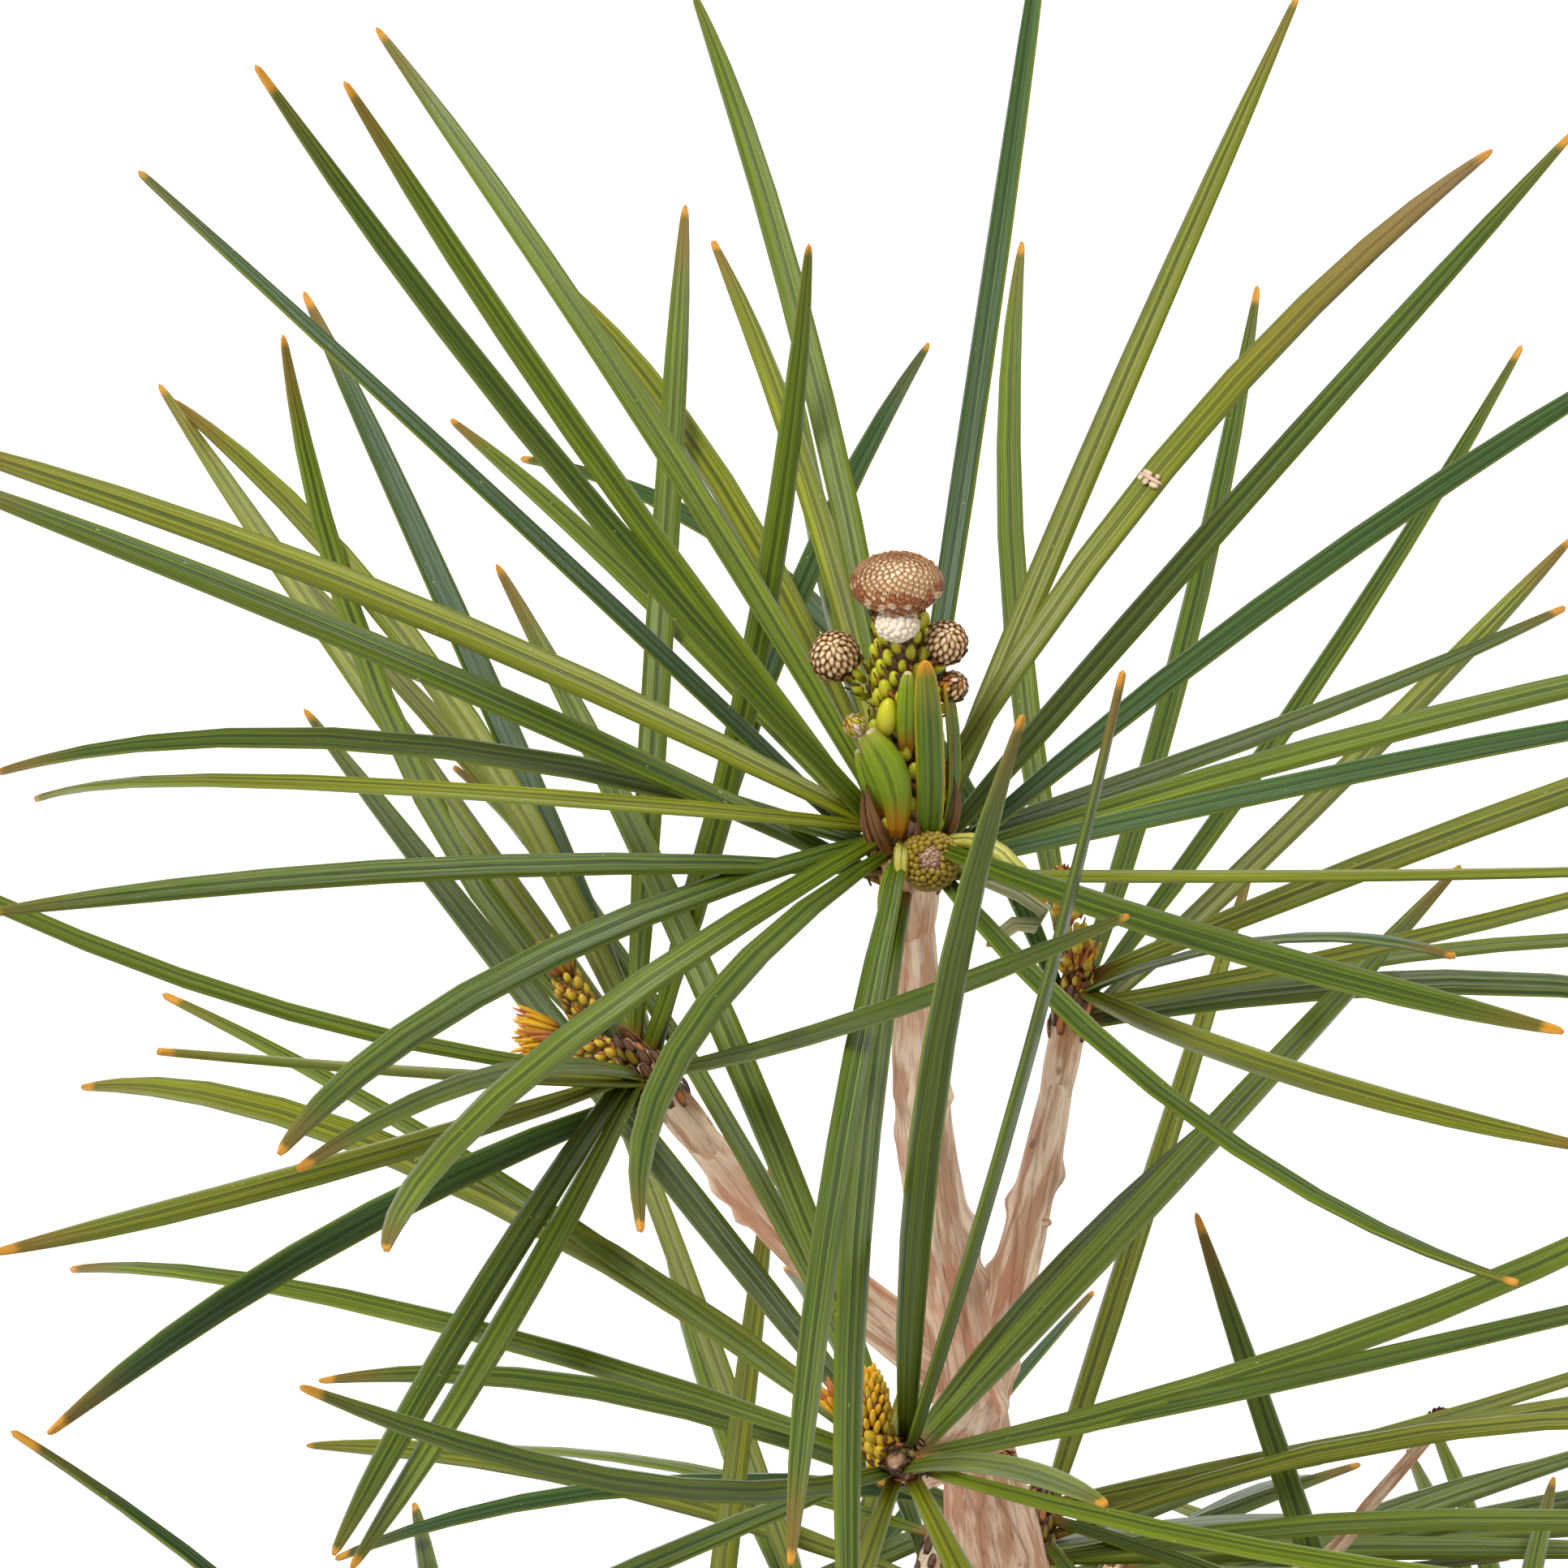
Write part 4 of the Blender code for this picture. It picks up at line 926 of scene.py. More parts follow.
def scale_material(name, core, rim, streak):
    """Small cone and bud scales: a body colour, a darker rim, painted shade at each scale's foot and fine lengthwise
    streaks.
    """
    made, net, shader = finish(name, 0.42)
    across_raw, along, tint = blade_map(net)
    between = net.between
    across = net.math("ABSOLUTE", net.scaled(net.math("FRACT", across_raw), 2.0, -1.0))
    lines = net.noise(net.drawn(across, along, net.times(tint, 61.0), 6.0, 2.0), 1.0)
    edge = net.math("MAXIMUM", between(across, 0.38, 0.74), between(along, 0.74, 0.9))
    # Painted shade: the rim colour also darkens each scale's foot, where it tucks under its neighbours, and the lower
    # part of each ball
    edge = net.math("MAXIMUM", edge, between(along, 0.05, 0.4, 1.0, 0.0))
    body = net.mix(between(lines, 0.4, 0.68, 0.0, 0.7), core, streak)
    body = net.mix(between(tint, 0.55, 1.0, 0.0, 0.35), body, streak)
    dress(net, shader, net.over(body, rim, edge, 0.92), lines, 0.4, 0.0001)
    return made


def clay_material():
    """Unglazed clay: soft throwing bands, sandy grain, pale lime bloom and dark grit."""
    made, net, shader = finish("terracotta", 0.85)
    spot = net.add("ShaderNodeTexCoord").outputs["Object"]
    bands = net.noise(net.stretched(spot, (1.0, 1.0, 9.0)), 28.0)
    sand = net.noise(spot, 2400.0, 2.0)
    bloom = net.noise(spot, 34.0, 5.0, 0.62)
    grit = net.math("LESS_THAN", net.cells(spot, 900.0)[0], 0.14)
    body = net.mix(bands, (0.47, 0.17, 0.08), (0.6, 0.26, 0.135))
    body = net.mix(net.between(bloom, 0.5, 0.78, 0.0, 0.55), body, (0.7, 0.52, 0.41))
    body = net.mix(net.between(sand, 0.55, 0.75, 0.0, 0.4), body, (0.33, 0.11, 0.055))
    body = net.over(body, (0.19, 0.075, 0.045), grit, 0.4)
    height = net.scaled(bands, 1.0, net.times(sand, 0.25))
    dress(net, shader, body, height, 0.35, 0.0005, net.between(bloom, 0.3, 0.8, 0.72, 0.95))
    return made


def soil_material():
    """Damp potting soil: dark crumbs with brown fibre and a few pale grains."""
    made, net, shader = finish("potting_soil", 0.95)
    spot = net.add("ShaderNodeTexCoord").outputs["Object"]
    crumbs = net.noise(spot, 420.0, 6.0, 0.7)
    fibre = net.noise(net.stretched(spot, (1.0, 6.0, 1.0)), 300.0)
    grains = net.math("LESS_THAN", net.cells(spot, 330.0)[0], 0.13)
    body = net.mix(net.between(crumbs, 0.35, 0.7), (0.014, 0.009, 0.006), (0.085, 0.052, 0.03))
    body = net.mix(net.between(fibre, 0.6, 0.72, 0.0, 0.6), body, (0.19, 0.105, 0.05))
    dress(net, shader, net.over(body, (0.42, 0.38, 0.32), grains, 0.55), crumbs, 0.9, 0.0012)
    return made


def chip_material():
    """Bark chips on the soil: reddish brown with a torn lengthwise grain."""
    made, net, shader = finish("bark_chips", 0.85)
    across, along, tint = blade_map(net)
    grain = net.noise(net.drawn(across, along, net.times(tint, 47.0), 9.0, 2.0), 1.0, 4.0)
    body = net.mix(net.between(grain, 0.35, 0.65), (0.07, 0.034, 0.018), (0.25, 0.13, 0.065))
    body = net.mix(net.between(tint, 0.5, 1.0, 0.0, 0.6), body, (0.33, 0.21, 0.13))
    dress(net, shader, body, grain, 0.8, 0.0006)
    return made


# Pieces joined from many copies of a blank

class Blank:
    """A small mesh modelled once, read out so that copies can be bent or placed and joined."""

    def __init__(self, bm, sides_of):
        bm.verts.index_update()
        self.points = np.array([vert.co[:] for vert in bm.verts])
        self.faces = [[vert.index for vert in face.verts] for face in bm.faces]
        self.marks = np.array([sides_of(face, vert.co) for face in bm.faces for vert in face.verts])
        bm.free()


def in_a_row(parts):
    return np.concatenate(parts).astype(np.float32).ravel()


class Joined:
    """One mesh joined from copies, with a map of its marks, a tint for each copy and a map to bake to."""

    def __init__(self):
        self.copies = []

    def add(self, blank, points, slot=0, tint=0.0):
        self.copies.append((blank, points, slot, tint))

    def piece(self, name, looks, slot, nodes, strips=False):
        count = len(self.copies)
        columns = count if strips else ceil(sqrt(count))
        rows = 1 if strips else ceil(count / columns)
        points, corners, sizes, slots, tints, marks, bakes = [], [], [], [], [], [], []
        start = 0
        for i, (blank, placed, look, tint) in enumerate(self.copies):
            points.append(placed)
            for face in blank.faces:
                corners.extend(index + start for index in face)
                sizes.append(len(face))
            slots += [look] * len(blank.faces)
            tints.append(np.full(len(placed), tint))
            marks.append(blank.marks[:, :2])
            cell = np.array([(i % columns) / columns, (i // columns) / rows])
            bakes.append(cell + blank.marks[:, 2:] / (columns, rows))
            start += len(placed)
        mesh = bpy.data.meshes.new(name)
        mesh.vertices.add(start)
        mesh.vertices.foreach_set("co", in_a_row(points))
        mesh.loops.add(len(corners))
        mesh.loops.foreach_set("vertex_index", np.array(corners, np.int32))
        mesh.polygons.add(len(sizes))
        mesh.polygons.foreach_set("loop_start", np.concatenate([[0], np.cumsum(sizes)[:-1]]).astype(np.int32))
        mesh.polygons.foreach_set("material_index", np.array(slots, np.int32))
        mesh.update(calc_edges=True)
        for label, values in (("Blade", marks), ("OFBake", bakes)):
            layer = mesh.uv_layers.new(name=label)
            layer.uv.foreach_set("vector", in_a_row(values))
        tint = mesh.attributes.new("Tint", "FLOAT", "POINT")
        tint.data.foreach_set("value", in_a_row(tints))
        mesh.validate()
        mesh.shade_smooth()
        return show(name, mesh, looks, nodes)


def in_scene(name, data):
    item = bpy.data.objects.new(name, data)
    bpy.context.scene.collection.objects.link(item)
    return item


def show(name, mesh, looks, nodes):
    """Puts a finished mesh in the scene as a piece of the plant."""
    for look in looks:
        mesh.materials.append(look)
    item = in_scene(name, mesh)
    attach(item, "root")
    if nodes:
        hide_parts(*nodes)
    return item


def mesh_of(name, bm):
    mesh = bpy.data.meshes.new(name)
    bm.to_mesh(mesh)
    bm.free()
    mesh.shade_smooth()
    return mesh


BAKE_MARGIN = 0.04


def blade_blank(stations, widths):
    """One straight blade along +Z, a unit long and two units wide, grooved along both faces."""
    def width_at(part):
        return float(np.interp(part, *zip(*widths)))

    frames = [sized((0, 0, part), width_at(part), 1.0, 1.0) for part in stations]
    bm = lofted(frames, FINE_SIDES, tip=Vector((0, 0, 1)))
    for vert in bm.verts:
        share = width_at(vert.co.z) or 1.0
        across = vert.co.x / share
        if abs(across) < GROOVE_REACH:
            vert.co.y *= GROOVE_DEPTH
        elif abs(across) < SHOULDER_REACH:
            vert.co.x = copysign(SHOULDER_PLACE * share, across)
            vert.co.y = copysign(1.0, vert.co.y)
        vert.co.y *= BLADE_THINNEST + (1 - BLADE_THINNEST) * sqrt(share)

    def marks(face, point):
        share = width_at(point.z)
        across = held(0.5 + 0.5 * (point.x / share if share else 0.0), 0.001, 0.999)
        under = face.calc_center_median().y < 0
        if abs(face.normal.z) > 0.9 and point.z < 0.01:
            bake = (0.02 + 0.46 * across, 0.004 + 0.004 * point.y)
        else:
            bake = ((0.52 if under else 0.02) + 0.46 * across, 0.02 + 0.97 * point.z)
        return (across + (1.0 if under else 0.0), point.z, *bake)

    return Blank(bm, marks)


def laid(blank, start, row, rng, half_width):
    """The blank's points bent along a needle's course, with a slight twist and wave of its own."""
    course = needle_course(start, row)
    twist = radians(varied(rng, 0.0, FINE_TWIST))
    wave = varied(rng, 0.0, FINE_WAVE)
    waves = rng.uniform(*FINE_WAVES)
    points = []
    for x, y, z in blank.points:
        place = min(z, 1.0) * NEEDLE_STEPS
        i = min(int(place), NEEDLE_STEPS - 1)
        part = place - i
        (low, low_side, low_normal, _), (high, high_side, high_normal, _) = course[i], course[i + 1]
        side = low_side.lerp(high_side, part)
        normal = low_normal.lerp(high_normal, part)
        turn = twist * z
        flat = side * cos(turn) + normal * sin(turn)
        over = normal * cos(turn) - side * sin(turn)
        drift = normal * (wave * sin(pi * z * waves) * min(1.0, 4 * z))
        spot = low.lerp(high, part) + flat * (x * half_width) + over * (y * FINE_HALF_THICKNESS)
        points.append((spot + drift)[:])
    return np.array(points)


def add_kink(joined, lump, course, slot):
    """The pale torn scar where one needle is kinked: small lumps across its width."""
    place = KINKED[2] * NEEDLE_STEPS
    (low, side, normal, _), (high, *_) = course[int(place)], course[int(place) + 1]
    spot, side, normal = low.lerp(high, place % 1), side.normalized(), normal.normalized()
    way = normal.cross(side).normalized()
    for across, ahead, half_wide, half_long in KINK_LUMPS:
        for face in (-1, 1):
            middle = spot + (side * across + way * ahead) * 0.001 + normal * FINE_HALF_THICKNESS * face
            matrix = frame_of(side * half_wide * 0.001, normal * KINK_RISE, way * half_long * 0.001, middle)
            joined.add(lump, placed(lump, matrix), slot, 0.5 + across * 0.4)


def make_needles(grown, blank, looks):
    """One piece of needles for each whorl, each needle dealt one of the greens."""
    lump = ball_blank(8, 6)
    names = list(NEEDLE_GREENS)
    shares = [share for share, _, _ in NEEDLE_GREENS.values()]
    for order, (name, kept) in enumerate(grown.items()):
        rng = random.Random(NEEDLE_SEED + order)
        joined = Joined()
        for i, (start, row, _) in enumerate(kept):
            slot = rng.choices(range(len(names)), shares)[0]
            wide = FINE_HALF_WIDTH * rng.uniform(FINE_NARROWEST, 1.0)
            points, tint = laid(blank, start, row, rng, wide), rng.random()
            if (name, i) in GREENS_BY_EYE:
                slot = names.index(GREENS_BY_EYE[name, i])
            if (name, i) == KINKED[:2]:
                slot, tint = len(names), KINKED[3]
                add_kink(joined, lump, needle_course(start, row), len(names) + 1)
            joined.add(blank, points, slot, tint)
        joined.piece(f"needles_{name}_fine", looks, "needles", [f"needles_{name}"], strips=True)


# Wood with relief

# The trunk's joints and broken twigs: height, bearing, size and rise
KNOBS = (
    (0.3238, 235, 0.0014, 0.0011), (0.3236, 320, 0.0012, 0.001), (0.3069, 0, 0.0016, 0.0012),
    (0.3011, 350, 0.0014, 0.001), (0.289, 200, 0.0013, 0.0008), (0.27, 300, 0.0015, 0.001),
    (0.26, 20, 0.0018, 0.001), (0.242, 250, 0.0018, 0.0011), (0.23, 60, 0.0016, 0.001),
    (0.196, 290, 0.002, 0.0012), (0.178, 130, 0.0022, 0.0013),
)


def smooth_course(points, radii, step):
    """The course read again at even steps from a smooth curve through its points."""
    fine_points, fine_radii = [], []
    last = len(points) - 1
    for i in range(last):
        before, after = max(i - 1, 0), min(i + 2, last)
        count = max(2, round((points[i + 1] - points[i]).length / step))
        for k in range(count):
            t = k / count
            knots = (points[before], points[i], points[i + 1], points[after])
            sizes = (radii[before], radii[i], radii[i + 1], radii[after])
            fine_points.append(catmull(knots, t))
            fine_radii.append(catmull(sizes, t))
    fine_points.append(points[-1].copy())
    fine_radii.append(radii[-1])
    return fine_points, fine_radii


def catmull(knots, t):
    a, b, c, d = knots
    return ((b * 2) + (c - a) * t + (a * 2 - b * 5 + c * 4 - d) * t * t
            + (b * 3 - a - c * 3 + d) * t * t * t) * 0.5


def limb(frames, radii, sides, relief):
    """A limb lofted through frames, with straightened coordinates kept for its grain and relief raised on it."""
    bm = bmesh.new()
    grain = bm.verts.layers.float_vector.new("Grain")
    length, before = 0.0, frames[0].translation
    for ring, frame_here, radius in zip(loft(bm, frames, sides), frames, radii):
        middle, back = frame_here.translation, frame_here.inverted()
        length += (middle - before).length
        before = middle
        for vert in ring:
            flat = back @ vert.co
            spot = Vector((flat.x * radius, flat.y * radius, length))
            vert[grain] = spot
            out = (vert.co - middle).normalized()
            vert.co += out * relief(spot, vert.co, out)
    bmesh.ops.recalc_face_normals(bm, faces=bm.faces)
    return bm


# Bark relief: how often each kind turns round and along a limb in a metre, and its share of the depth
RIDGES, FLAKES, SWELLINGS = (900, 60, 0.45), (330, 90, 0.55), (60, 45, 0.7)
FLAKE_STEEPNESS = 3.0


def fibre_relief(spot, seed, depth):
    """Lengthwise ridges, thin flakes with steep edges and slow swellings, together about as high as depth."""
    shift = Vector((seed * 3.1, seed * 1.7, seed * 0.9))

    def waves(around, along, share, steepness=1.0):
        wave = noise.noise(Vector((spot.x * around, spot.y * around, spot.z * along)) + shift)
        return share * (wave if steepness == 1.0 else held(wave * steepness, -0.5, 0.5))

    return depth * (waves(*RIDGES) + waves(*FLAKES, FLAKE_STEEPNESS) + waves(*SWELLINGS))


# How far up its limb a bud scar lies, how wide it is and how far it rises, as shares of reach and radius
KNOB_RANGES = ((0.08, 0.92), (0.3, 0.5), (0.14, 0.3))


def knobs_for(seed, count, reach, radius):
    """Small rounded bud scars spread over a limb: place on its straightened surface, size and rise."""
    rng = random.Random(seed)
    found = []
    for _ in range(count):
        turn = rng.uniform(-pi, pi)
        way = Vector((cos(turn), sin(turn), 0.0))
        level, size, rise = (rng.uniform(*ends) for ends in KNOB_RANGES)
        found.append((way, level * reach, size * radius, rise * radius))
    return found


def knob_relief(spot, knobs):
    height = 0.0
    for way, level, size, rise in knobs:
        if abs(spot.z - level) < 3 * size:
            round_way = (spot.xy.normalized() - way.xy).length * spot.xy.length
            height += rise * exp(-((spot.z - level) ** 2 + round_way ** 2) / size ** 2)
    return height


TRUNK_SCARS = knobs_for(3, count=34, reach=0.2, radius=0.0035)
# Where the trunk's bark is rough: full below ROUGH_FROM less ROUGH_SPAN, and how deep it is at its tip and foot
ROUGH_FROM, ROUGH_SPAN = 0.3, 0.14
TIP_DEPTH, FOOT_DEPTH = 0.00022, 0.00077
TRUNK_SHIFT = 5.0


def trunk_relief(spot, place, out):
    low = held((ROUGH_FROM - place.z) / ROUGH_SPAN, 0.0, 1.0)
    depth = TIP_DEPTH + (FOOT_DEPTH - TIP_DEPTH) * low
    height = fibre_relief(spot, TRUNK_SHIFT, depth) + knob_relief(spot, TRUNK_SCARS)
    for knob_height, bearing, size, rise in KNOBS:
        near = (place.z - knob_height) ** 2 + ((out - level_way(bearing)).length * spot.xy.length) ** 2
        height += rise * exp(-near / size ** 2)
    return height


def make_trunk(bark):
    radii = [radius - TRUNK_SLIM for radius in TRUNK_RADII]
    radii[-1] *= TIP_SLIM
    points, radii = smooth_course(TRUNK_POINTS, radii, TRUNK_RING_STEP)
    bm = limb(upright_frames(points, radii), radii, TRUNK_FINE_SIDES, trunk_relief)
    show("trunk_fine", mesh_of("trunk_fine", bm), [bark], ["trunk"])


class Limbs:
    """Limbs joined into one piece, each with straightened coordinates of its own."""

    def __init__(self):
        self.bm = bmesh.new()
        self.bm.verts.layers.float_vector.new("Grain")

    def grow(self, kind, points, radii, order=0, knobs=0):
        """One more limb of a kind; order moves its relief on, so that no two are alike."""
        sides, start, depth = LIMB_KINDS[kind]
        points, radii = smooth_course(points, radii, LIMB_RING_STEP)
        reach = sum((after - before).length for before, after in zip(points, points[1:]))
        scars = knobs_for(round(start + order), knobs, reach, radii[0])
        mesh = mesh_of(kind, limb(round_frames(points, radii), radii, sides, lambda spot, place, out: (
            fibre_relief(spot, start + order, depth) + knob_relief(spot, scars))))
        self.bm.from_mesh(mesh)
        bpy.data.meshes.remove(mesh)


# Short dead stubs on boughs: place along the bough, way, reach and radius, then their sizes along their reach
STUBS = {"left": (2, (-0.55, -0.45, 0.7), 0.0046, 0.0015), "right": (3, (0.8, -0.5, 0.3), 0.0028, 0.0008)}
STUB_SIZES = ((0.0, 1.0), (0.8, 0.85), (1.0, 0.5))


def make_boughs(specs, bark):
    limbs = Limbs()
    for i, spec in enumerate(specs):
        points, radii, _ = bough_course(spec)
        radii[-1] *= TIP_SLIM
        limbs.grow("bough", points, radii, i, BOUGH_KNOBS)
        if spec["name"] in STUBS:
            place, way, reach, radius = STUBS[spec["name"]]
            out = Vector(way).normalized() * reach
            limbs.grow("stub", [points[place] + out * part for part, _ in STUB_SIZES],
                       [radius * size for _, size in STUB_SIZES], i)
    show("boughs_fine", mesh_of("boughs_fine", limbs.bm), [bark], [f"bough_{spec['name']}" for spec in specs])


def make_stems(specs, bark):
    """The stem of each whorl, its side twigs, the dry stalk and the leader's hub, as one piece of twig bark."""
    limbs = Limbs()
    for i, spec in enumerate(specs):
        points, limb_radii, shoot = bough_course(spec)
        foot, hub = points[-1], spec["hub"]
        band = shoot * WHORL_HEIGHT * WHORL_BAND
        course = ([foot + shoot * place for place in STEM_FOOT_PLACES]
                  + [hub + band * place for place in STEM_BAND_PLACES])
        limbs.grow("stem", course, [limb_radii[-1] * size for size in STEM_SIZES], i)
        for start, end, way in side_twigs(spec, foot + shoot * GAP, shoot):
            limbs.grow("twig", twig_course(start - way * STEM_OVERLAP, end, way), FINE_TWIG_RADII, i)
        if spec["name"] == DRY_BOUGH:
            stalk = dry_stalk(hub)
            limbs.grow("dry", stalk, [DRY_STALK_RADIUS * (DRY_FOOT_SCALE - DRY_TAPER * k / len(DRY_STALK))
                                      for k in range(len(stalk))])
    tip, radius = TRUNK_POINTS[-1], TRUNK_RADII[-1]
    course = [tip - UP * 2 * STEM_OVERLAP, tip + UP * LEADER_COLLAR, TOP_HUB, TOP_HUB + UP * TOP_HUB_HALF]
    radii = (radius, radius, TOP_HUB_RADIUS, TOP_HUB_RADIUS)
    limbs.grow("leader", course, [radius * size for radius, size in zip(radii, LEADER_SIZES)])
    show("whorl_stems", mesh_of("whorl_stems", limbs.bm), [bark], [])


# Scales, buds and young cones

def scale_blank(tip=0.66, belly=0.62):
    """A thin scale that lies along +Z, widest at belly, with its outer face towards +Y."""
    stations = (0.0, 0.3, belly, 0.86)
    widths = (0.6, 0.94, 1.0, tip)
    frames = [sized((0, 0.1 * sin(pi * part), part), width * 0.5, 0.11, 1.0)
              for part, width in zip(stations, widths)]
    bm = lofted(frames, 6, tip=Vector((0, 0.03, 1)))

    def marks(face, spot):
        share = float(np.interp(spot.z, (*stations, 1.0), (*widths, 0.0)))
        across = held(0.5 + (spot.x / share if share else 0.0), 0.01, 0.99)
        under = face.calc_center_median().y < 0.05
        bake = (BAKE_MARGIN + (0.5 if under else 0.0) + (0.5 - 2 * BAKE_MARGIN) * across,
                BAKE_MARGIN + (1 - 2 * BAKE_MARGIN) * spot.z)
        return (across + (1.0 if under else 0.0), spot.z, *bake)

    return Blank(bm, marks)


def placed(blank, matrix):
    spots = np.hstack([blank.points, np.ones((len(blank.points), 1))])
    return (spots @ np.array(matrix.transposed()))[:, :3]


def attitude(foot, along, out, length, width, thick=None):
    """A matrix that lays a blank from foot along a way, its face turned out."""
    along = along.normalized()
    side = out.cross(along).normalized()
    face = along.cross(side)
    return frame_of(side * width, face * (thick or width), along * length, foot)


def ball_blank(segments=16, rings=10):
    bm = bmesh.new()
    bmesh.ops.create_uvsphere(bm, u_segments=segments, v_segments=rings, radius=1.0)

    def marks(face, spot):
        middle = face.calc_center_median()
        turn = atan2(middle.y, middle.x)
        step = atan2(spot.y, spot.x) if spot.xy.length > 0.01 else turn
        step = turn + (step - turn + pi) % (2 * pi) - pi
        across = held(0.5 + step / (2 * pi), 0.001, 0.999)
        along = acos(held(spot.z, -1.0, 1.0)) / pi
        # Across stays off the side rims and along runs from 0.62 at the top pole to 0 at the bottom, so the lower part
        # of each ball takes painted shade: a core's underside, a bead's inner side between its neighbours
        return (0.35 + 0.3 * across, 0.62 * (1.0 - along), BAKE_MARGIN + 0.92 * across,
                BAKE_MARGIN + 0.92 * along)

    return Blank(bm, marks)


SCALE_LOOKS = {
    "scale_buff": ((0.74, 0.5, 0.22), (0.19, 0.06, 0.002), (0.93, 0.84, 0.66)),
    "scale_russet": ((0.45, 0.11, 0.014), (0.13, 0.03, 0.003), (0.6, 0.29, 0.09)),
    "scale_olive": ((0.185, 0.115, 0.002), (0.045, 0.018, 0.002), (0.34, 0.235, 0.006)),
    "scale_brown": ((0.12, 0.048, 0.016), (0.04, 0.015, 0.007), (0.22, 0.105, 0.045)),
    "scale_green": ((0.43, 0.43, 0.008), (0.24, 0.14, 0.01), (0.58, 0.54, 0.02)),
    "scale_white": ((0.72, 0.6, 0.46), (0.4, 0.23, 0.13), (0.82, 0.75, 0.65)),
    "scale_amber": ((0.66, 0.33, 0.006), (0.28, 0.085, 0.004), (0.78, 0.48, 0.02)),
    "scale_gold": ((0.48, 0.3, 0.008), (0.2, 0.06, 0.008), (0.62, 0.44, 0.02)),
    "scale_rose": ((0.33, 0.19, 0.12), (0.1, 0.045, 0.025), (0.45, 0.3, 0.21)),
}
BUFF, RUSSET, OLIVE, BROWN, GREEN, WHITE, AMBER, GOLD, ROSE = range(len(SCALE_LOOKS))

SPIRAL_TURN = 2.39996
CATKIN_ROD = 0.00034
BRUSH_ROD = 0.00026
# Bud scales: sizes, how their spiral climbs and leans in, as start and change, and how it closes over the bud
BUD_SCALE_SIZES, BUD_CLIMB, BUD_LEAN = (0.0016, 0.0026), (-0.55, 1.25), (0.25, -0.45)
BUD_CLOSE_FROM, BUD_CLOSE, BUD_CLOSE_BEND = 0.45, 0.95, 1.2
# Shingles: lengths and widths, how far each starts behind and below its place, and its thickness
SHINGLE_LENGTHS, SHINGLE_WIDTHS = (0.9, 1.15), (0.92, 1.08)
SHINGLE_BACK, SHINGLE_SINK, SHINGLE_THICK, UNDERSIDE_FLAT = 0.45, 0.1, 0.9, 0.8
# Teardrop buds: heights, leans and half sizes, and the two scales of each socket
TEAR_HEIGHTS, TEAR_LEANS, TEAR_SHAPE = (0.75, 1.15), (0.15, 0.4), (0.62, 0.36, 0.34)
SOCKET_TURNS, SOCKET_LEAN, SOCKET_LIFT, SOCKET_DROP, SOCKET_SHAPE = (-0.5, 0.5), 0.3, 0.00005, 0.85, (0.95, 0.36)
# A brush's rods: how their reach varies and how wide their feet stand
BRUSH_REACHES, BRUSH_FOOT = (0.75, 1.1), 0.28
# A catkin's scales: half lengths and leans, first place and run along its axis, and how it slims to its tip
CATKIN_HALVES, CATKIN_LEANS = (0.13, 0.2), (0.12, 0.42)
CATKIN_START, CATKIN_RUN, CATKIN_SLIM, CATKIN_SLIM_BEND = 0.1, 0.78, 0.8, 1.5


def spiral_round(way, count):
    """Ways square to a stalk, each a spiral's turn on from the one before."""
    across = way.orthogonal().normalized()
    for i in range(count):
        yield i, Matrix.Rotation(i * SPIRAL_TURN, 3, way) @ across


def spiral_over(count, top, bottom, facing):
    """Ways set evenly round a ball in a spiral, from its top level to its bottom one, then the same turned to face."""
    turn = UP.rotation_difference(facing.normalized())
    for i in range(count):
        level = top + (bottom - top) * i / (count - 1)
        ring = sqrt(max(0.0, 1.0 - level * level))
        way = Vector((ring * cos(i * SPIRAL_TURN), ring * sin(i * SPIRAL_TURN), level))
        yield way, turn


